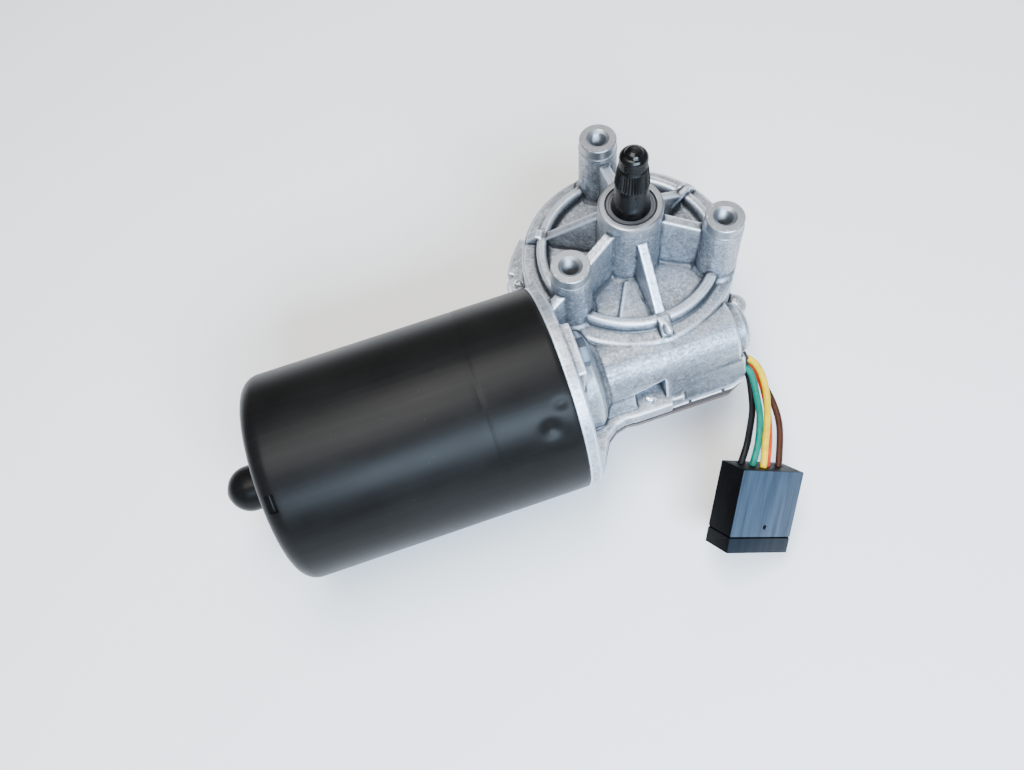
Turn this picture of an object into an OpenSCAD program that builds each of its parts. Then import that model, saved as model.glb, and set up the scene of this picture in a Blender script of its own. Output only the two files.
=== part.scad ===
// Two-speed wiper motor. A wound armature in a drawn steel can turns a worm, and the worm turns the
// wheel of the output shaft inside a ribbed die-cast gear case.
// Origin: the output shaft's axis at the plane of the mounting boss tops. +Z runs up the shaft and +X
// runs along the motor axis, from the can towards the closed end of the worm housing.

/* [Mounting bosses] */
// Pitch circle of the three mounting bosses
mount_pcd = 70; // [68:0.5:72]
// Radius of a mounting hole
mount_hole_r = 3.4; // [2.6:0.1:4.1]
// Depth of a mounting hole
mount_hole_depth = 18; // [12:0.5:24]
// Radius of the machined land on a boss
boss_land_r = 7.3; // [6.5:0.1:7.6]
// Height of the machined land
boss_land_h = 4.5; // [2:0.5:8]
// Radius of a boss below its land
boss_r = 7.65; // [7.4:0.05:8]
// Growth of a boss radius from the land to its foot
boss_draft = 0.5; // [0.2:0.1:0.8]

/* [Gear case] */
// Outer radius of the round case
case_r = 43.3; // [42.6:0.1:46]
// Drop from the boss tops to the ledge and the pocket floor
ledge_drop = 31; // [28:0.5:32]
// Thickness of the case roof
roof_t = 3.2; // [2.4:0.1:4]
// Thickness of the round wall
skirt_t = 4.3; // [3:0.1:6]
// Inner radius of the raised bead
bead_in_r = 33; // [31:0.5:34]
// Outer radius of the raised bead
bead_out_r = 37; // [36:0.5:39]
// Height of the raised bead
bead_h = 5; // [3:0.5:7]
// Radius of the collar around the shaft, at its top
collar_r = 12.33; // [11.5:0.1:13.5]
// Growth of the collar radius down to the pocket floor
collar_draft = 0.55; // [0.2:0.05:1]
// Rise of the collar above the boss tops
collar_rise = 0.7; // [0.2:0.1:2]
// Thickness of a web between the collar and a boss
web_t = 4; // [3:0.1:5.5]
// Thickness of a radial rib between two bosses
rib_t = 3.6; // [2.6:0.1:5]
// Fillet at the foot of the webs and ribs
foot_fillet = 2; // [1:0.25:3]
// Radius of a cover screw lug
lug_r = 5.2; // [4.4:0.1:6]
// Circle of the cover screws on the round case
lug_pcr = 46; // [45.5:0.1:47]

/* [Worm housing] */
// Distance between the shaft axis and the motor axis
centre_distance = 40; // [39.5:0.1:40.5]
// Drop from the boss tops to the motor axis
axis_drop = 46; // [45.5:0.1:46.5]
// Outer radius of the worm housing
tube_r = 14.5; // [13.5:0.1:15.5]
// Radius of the worm bore
worm_bore_r = 9; // [8.6:0.1:10]
// Distance from the shaft axis to the end face of the worm housing
tube_end = 27.3; // [26.5:0.1:29]
// Radius of the boss on that end face
end_boss_r = 10.2; // [9:0.1:11.5]
// Length of the boss on that end face
end_boss_len = 6.7; // [5:0.1:9]
// Radius of the neck between the housing and the flange
neck_r = 21; // [19.5:0.1:22.5]

/* [Flange] */
// Distance from the shaft axis to the flange face that the can meets
flange_x = 46; // [45.5:0.1:47]
// Thickness of the flange
flange_t = 5; // [4:0.1:6]
// Thickness of the pads under the bolt heads
pad_t = 8; // [7:0.1:9]
// Radius of the flange
flange_r = 41; // [40.4:0.1:41.2]
// Depth of the spigot that centres the can
spigot_h = 3; // [2:0.1:4]
// Bolt circle radius of the can bolts
bolt_circle_r = 30; // [29:0.1:31]
// Angle of the first can bolt about the motor axis
bolt_angle = 98; // [94:1:102]

/* [Motor can] */
// Outer radius of the can
can_r = 41.25; // [41:0.05:42]
// Length of the can without its nose
can_len = 115.3; // [112:0.1:122]
// Wall thickness of the can
can_wall = 2.25; // [1.8:0.05:2.5]
// Rounding of the rear edge
can_round = 7; // [4:0.25:9]
// Outer radius of the bearing nose
nose_r = 9; // [8.5:0.1:10]
// Length of the nose, dome and all
nose_len = 18.7; // [17:0.1:21]

/* [Worm drive] */
// Teeth on the wheel
teeth = 60; // [58:1:62]
// Pitch radius of the wheel
wheel_pitch_r = 33.4; // [33.2:0.1:33.6]
// Height of a tooth above the pitch line
addendum = 1.1; // [1:0.05:1.15]
// Depth of a tooth below the pitch line
dedendum = 1.35; // [1.3:0.05:1.4]
// Play between the flanks at the pitch line
backlash = 0.35; // [0.25:0.05:0.45]
// Width of the wheel's toothed rim
wheel_w = 10; // [8:0.5:11]
// Length of the worm thread
worm_len = 34; // [26:1:36]

/* [Output shaft] */
// Radius of the journal in the bushes
journal_r = 7.2; // [6.8:0.1:7.4]
// Radius at the top of the cone
cone_top_r = 6.6; // [6:0.1:6.7]
// Height of the cone's top above the boss plane
cone_h = 12; // [10:0.5:14]
// Height of the toothed seat for the crank
knurl_h = 6; // [4:0.5:7]
// Radius at the top of the toothed seat
knurl_top_r = 5.9; // [5.6:0.1:6]
// Radius of the threaded end
thread_r = 5.3; // [4.5:0.1:5.5]
// Height of the shaft's tip above the boss plane
tip_h = 34.1; // [31:0.1:38]
// Outer radius of the shaft bushes
bush_r = 9.6; // [9:0.1:10.2]

/* [Armature] */
// Radius of the armature shaft
arm_shaft_r = 4; // [3.6:0.1:4.4]
// Radius of the bearing seat on the armature shaft
arm_seat_r = 5; // [4.8:0.1:5.3]
// Inner radius of the magnets
magnet_in_r = 29; // [28.5:0.1:31]
// Room for the brush gear between the flange and the magnets
brush_room = 32.05; // [32:0.05:34]
// Air gap between the core and the magnets
air_gap = 0.7; // [0.5:0.05:1]
// Overhang of the magnets past each end of the core
magnet_over = 10; // [10:0.5:14]
// Number of slots in the core
slots = 12; // [10:1:14]
// Radius of the commutator
comm_r = 11.5; // [10.5:0.1:12.5]
// Length of the commutator
comm_len = 15; // [13:0.5:16]
// Length of a brush
brush_len = 12.5; // [10:0.5:14]
// Width of a brush along the motor axis
brush_w = 9; // [7:0.1:9.5]
// Thickness of a brush
brush_t = 6.6; // [5:0.1:7]
// Radius of the front bearing
bearing_r = 13; // [12.5:0.1:13.5]
// Width of the front bearing
bearing_w = 8; // [7:0.1:8.5]

/* [Cover] */
// Thickness of the cover plate
cover_t = 1.8; // [1.2:0.1:2.4]
// Thickness of the sealing gasket
gasket_t = 0.6; // [0.4:0.1:1]
// Depth of the case below the motor axis
case_under = 12; // [11.5:0.1:13]
// Radius of a cover screw
screw_r = 1.6; // [1.4:0.1:1.9]

/* [Leads] */
// Diameter of a lead
lead_d = 2.7; // [2.2:0.1:2.8]
// Width of the connector
conn_w = 30; // [29:0.5:34]
// Length of the connector
conn_len = 33; // [30:0.5:38]
// Depth of the connector
conn_d = 13.4; // [12.5:0.1:16]

/* [Hidden] */

slip = 0.03;           // radial gap of pieces pressed or glued together
run = 0.05;            // radial gap of turning pairs
rest_gap = 0.3;        // gap between pieces of different bodies
eps = 0.01;

floor_z = -ledge_drop;
roof_z = floor_z - roof_t;
joint_z = -axis_drop - case_under;
cover_z = joint_z - gasket_t;
lead = 2 * PI * wheel_pitch_r / teeth;
worm_pitch_r = centre_distance - wheel_pitch_r;
worm_tip_r = worm_pitch_r + addendum;
worm_root_r = worm_pitch_r - dedendum - 0.05;
wheel_tip_r = wheel_pitch_r + addendum;
room_r = case_r - skirt_t;
boss_az = [90, 210, 330];
rib_az = [30, 150, 270];
bolt_angles = [bolt_angle, bolt_angle + 180];
bolt_hole_r = 2.7;
can_rear = -flange_x - can_len;
can_in_r = can_r - can_wall;
dome_r = nose_r;
nose_end = can_rear - nose_len;
round_lug_az = [-36.6, 55, 110, 162.6];
box_screw = [-12, -centre_distance - tube_r - 1.5];
lug_top = -axis_drop - 5;
black_steel = [0.13, 0.13, 0.14];
cast_alloy = [0.72, 0.74, 0.77];
steel = [0.6, 0.61, 0.63];
copper = [0.72, 0.42, 0.24];

function arc(c, r, a0, a1, n = 6) = [for (i = [0:n]) let (a = a0 + (a1 - a0) * i / n)
    [c[0] + r * cos(a), c[1] + r * sin(a)]];

module on_axis() translate([0, -centre_distance, -axis_drop]) children();
// a profile of [radius, x] points revolved about the motor axis
module turned(profile) on_axis() rotate([0, 90, 0]) rotate_extrude($fn = 96) polygon(profile);
// an outline in the plane across the motor axis, drawn with +Y to the right and +Z up
module across(x0, len) on_axis() translate([x0, 0, 0]) rotate([90, 0, 90]) linear_extrude(len) children();
// things placed along +Y at an angle about the motor axis
module round_axis(a) on_axis() rotate([a, 0, 0]) children();
module x_rod(r, x0, x1) translate([x0, 0, 0]) rotate([0, 90, 0]) cylinder(r = r, h = x1 - x0, $fn = 64);
module sector(r, a0, a1) polygon(concat([[0, 0]], [for (i = [0:8]) let (a = a0 + (a1 - a0) * i / 8)
    2 * r * [cos(a), sin(a)]]));

// Gear case

function boss_foot_r() = boss_r + boss_draft;
// fillet at the foot of a wall that stands at x: it runs a little under the pocket floor
function foot_arc(x, side) = let (c = [x + foot_fillet, floor_z + foot_fillet * 0.9])
    [for (p = arc(c, foot_fillet, 180, 250, 4)) [side * p[0], p[1]]];

module boss_body() {
    translate([0, 0, floor_z - 1.5])
        cylinder(r1 = boss_foot_r(), r2 = boss_r, h = ledge_drop + 1.5 - boss_land_h, $fn = 64);
    translate([0, 0, -boss_land_h - 0.5]) cylinder(r = boss_land_r, h = boss_land_h + 0.5, $fn = 64);
    translate([0, 0, floor_z - 0.6]) cylinder(r1 = boss_foot_r() + foot_fillet, r2 = boss_foot_r() - 0.1,
        h = foot_fillet + 0.6, $fn = 64);
}

module mounting_boss(az) rotate([0, 0, az]) intersection() {
    translate([mount_pcd / 2, 0, 0]) boss_body();
    translate([0, 0, floor_z - 2]) cylinder(r = case_r - 0.06, h = ledge_drop + 3, $fn = 128);
}

// a rib seen from its end: drafted flanks that run out into the pocket floor
module rib_section(t) {
    h = t / 2 + 0.15;
    polygon(concat([[-t / 2, 2], [t / 2, 2]], foot_arc(h, 1),
        [[h + foot_fillet, floor_z - 1], [-h - foot_fillet, floor_z - 1]],
        [for (i = [4:-1:0]) foot_arc(h, -1)[i]]));
}

module radial_rib(az, r0, z0, r1, z1, t) rotate([0, 0, az]) intersection() {
    rotate([90, 0, 0]) linear_extrude(60, center = true)
        polygon([[r0, floor_z - 1], [r1, floor_z - 1], [r1, z1], [r0, z0]]);
    translate([r0, 0, 0]) rotate([90, 0, 90]) linear_extrude(r1 - r0) rib_section(t);
}

module case_body() rotate_extrude($fn = 128) polygon(concat(
    [[0, joint_z], [case_r, joint_z], [case_r, floor_z - 1.2]],
    arc([case_r - 1.2, floor_z - 1.2], 1.2, 0, 90, 3),
    [[bead_out_r + 1.2, floor_z]],
    arc([bead_out_r + 1.2, floor_z + 1.2], 1.2, 270, 180, 3),
    arc([bead_out_r - 1.4, floor_z + bead_h - 1.4], 1.4, 0, 90, 4),
    arc([bead_in_r + 1.4, floor_z + bead_h - 1.4], 1.4, 90, 180, 4),
    arc([bead_in_r - foot_fillet, floor_z + foot_fillet], foot_fillet, 0, -90, 4),
    [[collar_r + collar_draft + foot_fillet, floor_z]],
    arc([collar_r + collar_draft + foot_fillet, floor_z + foot_fillet], foot_fillet, 270, 180, 4),
    [[collar_r, collar_rise - 0.6], [collar_r - 0.6, collar_rise], [0, collar_rise]]));

module bead_nub(az) rotate([0, 0, az]) intersection() {
    translate([0, 0, floor_z - 3]) difference() {
        cylinder(r = case_r - 1.4, h = bead_h + 3.5, $fn = 128);
        cylinder(r = bead_out_r - 1.5, h = bead_h + 4, $fn = 128);
    }
    rotate([90, 0, 0]) linear_extrude(4.4, center = true) polygon([[bead_out_r - 2, floor_z - 2],
        [case_r, floor_z - 2], [case_r, floor_z + 0.6], [bead_out_r + 1, floor_z + bead_h + 0.5],
        [bead_out_r - 2, floor_z + bead_h + 0.5]]);
}

// plan of the case's lower rim: the round wall, the box under the worm housing and the flare to the flange
module rim_plan(grow = 0) {
    circle(r = case_r + grow, $fn = 128);
    x0 = -flange_x + flange_t;
    x1 = tube_end + 1.7 + grow;
    translate([0, -centre_distance]) polygon([[x0 - 0.5, 2 - flange_r], [x0 + 3.5, 6 - flange_r],
        [x0 + 6, -15 - tube_r - grow], [x0 + 9, -10 - tube_r - grow], [x0 + 13, -7.1 - tube_r - grow],
        [x0 + 18, -5.9 - tube_r - grow], [x0 + 23, -6.5 - tube_r - grow],
        [tube_end - 6.7, -6.5 - tube_r - grow], [tube_end + grow, -3.3 - tube_r - grow / 2], [x1, -tube_r],
        [x1, tube_r + 0.5], [x0 - 0.5, 32]]);
    for (az = round_lug_az) rotate(az) {
        translate([lug_pcr, 0]) circle(r = lug_r, $fn = 48);
        translate([lug_pcr - 8, -lug_r]) square([8, 2 * lug_r]);
    }
    intersection() {
        circle(r = case_r + 8, $fn = 128);
        rotate(145) translate([0, -9.5]) square([60, 19]);
    }
}

module lower_case() {
    // round wall's lugs and the ear, up to the lug tops
    translate([0, 0, joint_z]) linear_extrude(lug_top - joint_z) intersection() {
        rim_plan();
        translate([-60, -22]) square([120, 100]);
    }
    // lug on the right-hand side
    translate([0, 0, joint_z]) linear_extrude(lug_top - joint_z) rotate(round_lug_az[0]) {
        translate([lug_pcr, 0]) circle(r = lug_r, $fn = 48);
        translate([lug_pcr - 8, -lug_r]) square([8, 2 * lug_r]);
    }
    // shelf and flare on the near side
    translate([0, 0, joint_z]) linear_extrude(lug_top - 0.5 - joint_z) intersection() {
        rim_plan();
        translate([-60, -100]) square([62, 78]);
    }
    // lead box with a leaning near wall
    translate([0, 0, joint_z]) linear_extrude(2.2) intersection() {
        rim_plan();
        translate([-4, -100]) square([60, 80]);
    }
    translate([1, -centre_distance, 0]) rotate([90, 0, 90]) linear_extrude(tube_end + 0.7 - eps)
        polygon([[10, joint_z], [-4.7 - tube_r, joint_z], [-4.7 - tube_r, joint_z + 1.6],
            [0.25 - tube_r, -axis_drop + 0.9], [10, -axis_drop + 0.9]]);
}

module worm_housing() turned([[0, -flange_x + flange_t - eps], [neck_r + 1.5, -flange_x + flange_t - eps],
    [neck_r + 0.4, -39.2], [neck_r, -37.3], [neck_r - 0.5, -32.6], [neck_r - 2, -31], [tube_r + 1.3, -29.4],
    [tube_r, -27.6], [tube_r, tube_end - 0.8], [tube_r - 0.8, tube_end], [end_boss_r + 0.6, tube_end],
    [end_boss_r, tube_end + 0.6], [end_boss_r, tube_end + end_boss_len - 2.5],
    [end_boss_r - 0.75, tube_end + end_boss_len - 0.75], [end_boss_r - 2.5, tube_end + end_boss_len],
    [0, tube_end + end_boss_len]]);

module flange_body() {
    turned([[0, -flange_x], [flange_r, -flange_x], [flange_r, -flange_x + flange_t - 0.8],
        [flange_r - 0.8, -flange_x + flange_t], [0, -flange_x + flange_t]]);
    turned([[0, -flange_x + 1], [can_in_r - slip, -flange_x + 1],
        [can_in_r - slip, -flange_x - spigot_h + 0.6], [can_in_r - 0.6, -flange_x - spigot_h],
        [0, -flange_x - spigot_h]]);
    for (a = bolt_angles) on_axis() rotate([a - 90, 0, 0]) translate([-flange_x + 1, 0, 0])
        rotate([90, 0, 90]) linear_extrude(pad_t - 1) intersection() {
            circle(r = flange_r - 0.3, $fn = 96);
            translate([-11, bolt_circle_r - 12]) square([20.5, 40]);
        }
}

module boss_gusset() hull() for (p = [[-35.5, -22, -9.8], [-flange_x + 2.5, -25.2, -13.6]])
    translate([p[0], p[1], floor_z - 6]) cylinder(r = 2, h = p[2] - floor_z + 6, $fn = 24);

module gear_case() color(cast_alloy) difference() {
    union() {
        case_body();
        for (az = boss_az) mounting_boss(az);
        for (az = boss_az) radial_rib(az, collar_r - 2, -5, mount_pcd / 2 - 4, -8.6, web_t);
        for (az = rib_az) radial_rib(az, collar_r - 2, -6.2, bead_in_r + 0.8, floor_z + bead_h - 0.3, rib_t);
        for (az = rib_az) bead_nub(az);
        worm_housing();
        flange_body();
        boss_gusset();
        lower_case();
        // inner hub that carries the lower bush
        translate([0, 0, roof_z - 4]) cylinder(r = collar_r + 1, h = 6, $fn = 64);
    }
    case_room();
    worm_room();
    case_holes();
}

// room of the wheel, open at the cover, with the hub of the lower bush left standing
module case_room() {
    difference() {
        translate([0, 0, joint_z - 5]) cylinder(r = room_r, h = roof_z - joint_z + 5, $fn = 128);
        translate([0, 0, roof_z - 4]) cylinder(r = collar_r + 1, h = 6, $fn = 64);
    }
    // everything of the turned housing that would reach below the joint
    translate([-flange_x + bearing_w + 1, -100, joint_z - 30]) cube([90, 160, 30]);
    // lead room beside the worm bore
    lead_room(6, 20.5, 0, joint_z - 1);
}

// space for the leads: it leans like the wall outside it
module lead_room(x0, len, inset, z0) translate([x0, -centre_distance, 0]) rotate([90, 0, 90])
    linear_extrude(len) polygon([[4.7 - tube_r - inset, z0], [-2.3 - tube_r + inset, z0],
        [-2.3 - tube_r + inset, joint_z + 1.6], [1.1 - tube_r + inset, -axis_drop - 3 - inset],
        [4.7 - tube_r - inset, -axis_drop - 3 - inset]]);

module worm_room() {
    turned([[0, -flange_x + bearing_w], [worm_bore_r, -flange_x + bearing_w], [worm_bore_r, tube_end],
        [0, tube_end]]);
    turned([[0, -flange_x - spigot_h - 1], [bearing_r + slip, -flange_x - spigot_h - 1],
        [bearing_r + slip, -flange_x + bearing_w], [0, -flange_x + bearing_w]]);
    turned([[0, tube_end - 1], [adjuster_r, tube_end - 1], [adjuster_r, tube_end + end_boss_len + 1],
        [0, tube_end + end_boss_len + 1]]);
    // ring hollow of the spigot
    turned([[bearing_r + 4, -flange_x - spigot_h - 1], [can_in_r - 3.5, -flange_x - spigot_h - 1],
        [can_in_r - 3.5, -flange_x], [bearing_r + 4, -flange_x]]);
}

module case_holes() {
    translate([0, 0, roof_z - 10]) cylinder(r = bush_r + slip, h = 60, $fn = 96);
    for (az = boss_az) rotate([0, 0, az]) translate([mount_pcd / 2, 0, -mount_hole_depth])
        cylinder(r = mount_hole_r, h = mount_hole_depth + 1, $fn = 48);
    for (a = bolt_angles) round_axis(a) translate([0, bolt_circle_r, 0]) {
        x_rod(bolt_hole_r, -flange_x - 8, -flange_x + pad_t + 5);
        x_rod(7.4, -flange_x + pad_t, -flange_x + pad_t + 9);
    }
    for (az = round_lug_az) rotate([0, 0, az]) translate([lug_pcr, 0, joint_z - 1])
        cylinder(r = screw_r + run, h = lug_top - joint_z + 2, $fn = 32);
    translate([box_screw[0], box_screw[1], joint_z - 1]) cylinder(r = screw_r + run, h = 20, $fn = 32);
    // way out of the leads
    lead_room(20, 12, 0.4, joint_z + 1.4);
}

// Shaft bearings

upper_bush_z = [-15, -2.4];
lower_bush_z = [roof_z - 4, roof_z + 10];

module bush(r_in, r_out, z0, z1) rotate_extrude($fn = 96) polygon([[r_in, z0 + 0.3], [r_in + 0.3, z0],
    [r_out - 0.4, z0], [r_out, z0 + 0.4], [r_out, z1 - 0.4], [r_out - 0.4, z1], [r_in + 0.3, z1],
    [r_in, z1 - 0.3]]);

module output_bushes() color([0.62, 0.5, 0.3]) for (b = [upper_bush_z, lower_bush_z])
    bush(journal_r + run, bush_r, b[0], b[1]);

module shaft_seal() color([0.35, 0.36, 0.38]) rotate_extrude($fn = 96) polygon([
    [journal_r + run, upper_bush_z[1] + 0.1], [bush_r, upper_bush_z[1] + 0.1], [bush_r, collar_rise - 0.7],
    [bush_r - 0.4, collar_rise - 0.35], [bush_r - 1.1, collar_rise - 0.35], [bush_r - 1.3, collar_rise - 0.6],
    [journal_r + 0.5, collar_rise - 0.6], [journal_r + run, collar_rise - 1]]);

// Cover

module cover_outline(grow) difference() {
    intersection() {
        rim_plan(grow);
        translate([-flange_x + bearing_w + 1.3, -100]) square([100, 200]);
    }
    for (az = round_lug_az) rotate(az) translate([lug_pcr, 0]) circle(r = screw_r + 0.3, $fn = 32);
    translate(box_screw) circle(r = screw_r + 0.3, $fn = 32);
}

module cover_gasket() color([0.18, 0.18, 0.19]) translate([0, 0, cover_z]) linear_extrude(gasket_t)
    difference() {
        cover_outline(0);
        circle(r = room_r, $fn = 128);
        translate([6, -centre_distance - tube_r - 2.3]) square([20.5, 7]);
    }

module cover_plate() color([0.62, 0.64, 0.67]) translate([0, 0, cover_z - cover_t]) {
    difference() {
        linear_extrude(cover_t) cover_outline(0.3);
        translate([0, 0, -1]) cylinder(r = 24, h = cover_t - 0.2, $fn = 96);
    }
    // pressed dish that stiffens the plate
    translate([0, 0, -1.4]) difference() {
        cylinder(r1 = 33, r2 = 35, h = 1.4 + eps, $fn = 96);
        translate([0, 0, -1]) cylinder(r1 = 28, r2 = 27, h = 3.2, $fn = 96);
    }
}

module cover_screws() color(steel) {
    for (az = round_lug_az) rotate([0, 0, az]) translate([lug_pcr, 0, 0]) cover_screw();
    translate([box_screw[0], box_screw[1], 0]) cover_screw();
}

module cover_screw() {
    head_z = cover_z - cover_t;
    difference() {
        translate([0, 0, head_z - 2.6]) cylinder(r = 3.4, h = 2.6, $fn = 48);
        for (a = [0, 90]) rotate([0, 0, a]) translate([-2.4, -0.5, head_z - 3]) cube([4.8, 1, 1.8]);
    }
    rotate_extrude($fn = 32) polygon([[0, head_z - 0.5], [screw_r, head_z - 0.5], [screw_r, lug_top + 1],
        [screw_r - 0.6, lug_top + 2], [0, lug_top + 2]]);
}

button_top = -axis_drop - wheel_w / 2 - 3.4;

module thrust_button() color([0.85, 0.84, 0.78]) translate([0, 0, cover_z + eps])
    rotate_extrude($fn = 64) polygon([[0, 0], [9, 0], [9, 1.2], [5, 1.8], [5, button_top - cover_z - 0.5],
        [4.5, button_top - cover_z], [0, button_top - cover_z]]);

// Motor can

module motor_can() color(black_steel) difference() {
    turned(concat([[can_in_r, -flange_x], [can_r, -flange_x]],
        [for (p = arc([can_r - can_round, can_rear + can_round], can_round, 0, -90, 8)) p],
        [[nose_r + 2.6, can_rear], [nose_r + 0.8, can_rear - 0.8], [nose_r, can_rear - 2.4],
            [nose_r, nose_end + dome_r]],
        arc([0, nose_end + dome_r], dome_r, 0, -90, 8),
        arc([0, nose_end + dome_r], dome_r - can_wall, -90, 0, 8),
        [[nose_r - can_wall, can_rear + can_wall], [can_in_r - can_round + can_wall, can_rear + can_wall]],
        arc([can_r - can_round, can_rear + can_round], can_round - can_wall, -90, 0, 8)));
    // drain slots at the rear edge
    for (a = [126, 306]) round_axis(a) translate([can_rear + 4.8, can_r - 1.6, 0])
        rotate([0, 0, 35]) cube([3.6, 9, 7], center = true);
}

module can_lugs() color(black_steel) for (a = bolt_angles) on_axis() rotate([a - 90, 0, 0]) difference() {
    union() {
        across_here(-flange_x - spigot_h - 6, 5.9) lug_plan();
        across_here(-flange_x - spigot_h - 14, 8.1) intersection() {
            lug_plan();
            difference() {
                circle(r = can_in_r - slip, $fn = 96);
                circle(r = can_in_r - 2, $fn = 96);
            }
        }
    }
    translate([0, 0, bolt_circle_r]) x_rod(2.5 + run, -flange_x - 20, -flange_x);
}

module across_here(x0, len) translate([x0, 0, 0]) rotate([90, 0, 90]) linear_extrude(len) children();

module lug_plan() intersection() {
    circle(r = can_in_r - slip, $fn = 96);
    translate([-6, bolt_circle_r - 5]) square([12, 20]);
}

module can_bolts() color([0.2, 0.22, 0.25]) for (a = bolt_angles)
    round_axis(a) translate([0, bolt_circle_r, 0]) {
    difference() {
        translate([-flange_x + pad_t, 0, 0]) rotate([0, 90, 0]) cylinder(r = 5.77, h = 4, $fn = 6);
        translate([-flange_x + pad_t + 3.4, 0, 0]) rotate([0, 90, 0]) cylinder(r = 3.6, h = 1, $fn = 48);
    }
    x_rod(2.5, -flange_x - spigot_h - 9, -flange_x + pad_t + eps);
}

// Field

magnet_end = can_rear + can_wall + 9;
magnet_len = -flange_x - brush_room - magnet_end;
core_len = magnet_len - 2 * magnet_over;

module field_magnets() color([0.25, 0.25, 0.27]) for (a = [0, 180]) on_axis() translate([magnet_end, 0, 0])
    rotate([90, 0, 90]) linear_extrude(magnet_len) intersection() {
        difference() {
            circle(r = can_in_r - slip, $fn = 96);
            circle(r = magnet_in_r, $fn = 96);
        }
        sector(can_r, a - 62, a + 62);
    }

module magnet_clips() color(steel) for (a = [90, 270]) on_axis() translate([magnet_end + 6, 0, 0])
    rotate([90, 0, 90]) linear_extrude(magnet_len - 12) intersection() {
        difference() {
            circle(r = can_in_r - slip, $fn = 96);
            difference() {
                circle(r = can_in_r - 0.9, $fn = 96);
                for (s = [-1, 1]) rotate(a + s * 26.4) translate([0, -0.4]) square([60, 0.8]);
            }
            circle(r = can_in_r - 6, $fn = 96);
        }
        sector(can_r, a - 27.4, a + 27.4);
    }

module rear_bush() color([0.62, 0.5, 0.3]) turned([[arm_shaft_r + run, can_rear + 1],
    [arm_shaft_r + run, can_rear - 9], [nose_r - can_wall - slip, can_rear - 9],
    [nose_r - can_wall - slip, can_rear + 1]]);

ball_r = 3;
nose_in = nose_end + can_wall;
shaft_rear = nose_in + 2 * ball_r + 0.06;

module rear_ball() color(steel) on_axis() translate([nose_in + ball_r + 0.03, 0, 0])
    sphere(r = ball_r, $fn = 48);

// Front bearing

race_mid_r = (arm_seat_r + bearing_r) / 2;
bearing_ball_r = 2.4;

module race(r0, r1) difference() {
    turned([[r0, -flange_x + 0.02], [r0, -flange_x + bearing_w - 0.02], [r1, -flange_x + bearing_w - 0.02],
        [r1, -flange_x + 0.02]]);
    on_axis() translate([-flange_x + bearing_w / 2, 0, 0]) rotate([0, 90, 0]) rotate_extrude($fn = 96)
        translate([race_mid_r, 0]) circle(r = bearing_ball_r + 0.03, $fn = 32);
}

module bearing_outer_race() color(steel) race(race_mid_r + 1.3, bearing_r);
module bearing_inner_race() color(steel) race(arm_seat_r + slip, race_mid_r - 1.3);
module bearing_balls() color([0.75, 0.76, 0.78]) for (k = [0:8]) round_axis(k * 40)
    translate([-flange_x + bearing_w / 2, race_mid_r, 0]) sphere(r = bearing_ball_r - 0.02, $fn = 32);

// Brush gear

plate_x = -flange_x - spigot_h - 14.6;
brush_az = [0, 180, 236];
brush_x = plate_x - brush_w / 2 - 2.9;
slide = 0.1;           // gap of a brush in its holder
holder_t = 1.2;        // wall of a brush holder
holder_len = can_in_r - comm_r - 5.5;
spring_len = holder_len + 1.1 - brush_len;
spring_out = [for (k = [0:8]) [2 + 0.7 * (k % 2), k * spring_len / 8]];
spring_in = [for (k = [8:-1:0]) [1.2 + 0.7 * (k % 2), k * spring_len / 8]];

module brush_plate() color([0.33, 0.22, 0.14]) {
    difference() {
        across(plate_x - 1.6, 1.6) difference() {
            circle(r = can_in_r - 0.15, $fn = 96);
            circle(r = comm_r + 3, $fn = 64);
        }
        for (a = brush_az) round_axis(a) translate([plate_x - 0.8, comm_r + 12.5, 0])
            cube([3, 14, 3], center = true);
    }
    for (a = brush_az) round_axis(a) difference() {
        translate([brush_x - brush_w / 2 - slide - holder_t, comm_r + 2.4, -brush_t / 2 - slide - holder_t])
            cube([brush_w + slide + holder_t + 2.9, holder_len, brush_t + 2 * (slide + holder_t)]);
        translate([brush_x - brush_w / 2 - slide, comm_r + 1, -brush_t / 2 - slide])
            cube([brush_w + 2 * slide, holder_len + 0.4, brush_t + 2 * slide]);
    }
}

module brushes() color([0.16, 0.15, 0.15]) for (a = brush_az) round_axis(a)
    translate([brush_x - brush_w / 2, comm_r + 0.1, -brush_t / 2]) cube([brush_w, brush_len, brush_t]);

module brush_springs() color(steel) for (a = brush_az) round_axis(a)
    translate([brush_x, comm_r + 0.2 + brush_len, 0]) rotate([-90, 0, 0]) rotate_extrude($fn = 32)
        polygon(concat(spring_out, spring_in));

// Worm end

adjuster_r = 6;
worm_end = worm_len / 2 + 1;

module worm_bush() color([0.62, 0.5, 0.3]) turned([[arm_shaft_r + run, worm_end + 1],
    [arm_shaft_r + run, tube_end - 1.2], [worm_bore_r - slip, tube_end - 1.2],
    [worm_bore_r - slip, worm_end + 1]]);

module thrust_adjuster() color(steel) difference() {
    turned([[0, tube_end + 0.2], [adjuster_r - slip, tube_end + 0.2],
        [adjuster_r - slip, tube_end + end_boss_len - 0.5], [adjuster_r - 0.6, tube_end + end_boss_len],
        [0, tube_end + end_boss_len]]);
    on_axis() translate([tube_end + end_boss_len - 1, 0, 0]) cube([3, 9, 1.4], center = true);
}

// Armature

module armature_shaft() color(steel) turned([[0, shaft_rear], [arm_shaft_r - 0.6, shaft_rear],
    [arm_shaft_r, shaft_rear + 0.6], [arm_shaft_r, -flange_x - 1.5], [arm_seat_r, -flange_x - 1.5],
    [arm_seat_r, -flange_x + bearing_w + 1], [arm_shaft_r, -flange_x + bearing_w + 1],
    [arm_shaft_r, tube_end - 0.6], [arm_shaft_r - 0.7, tube_end + 0.15], [0, tube_end + 0.15]]);

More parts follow.
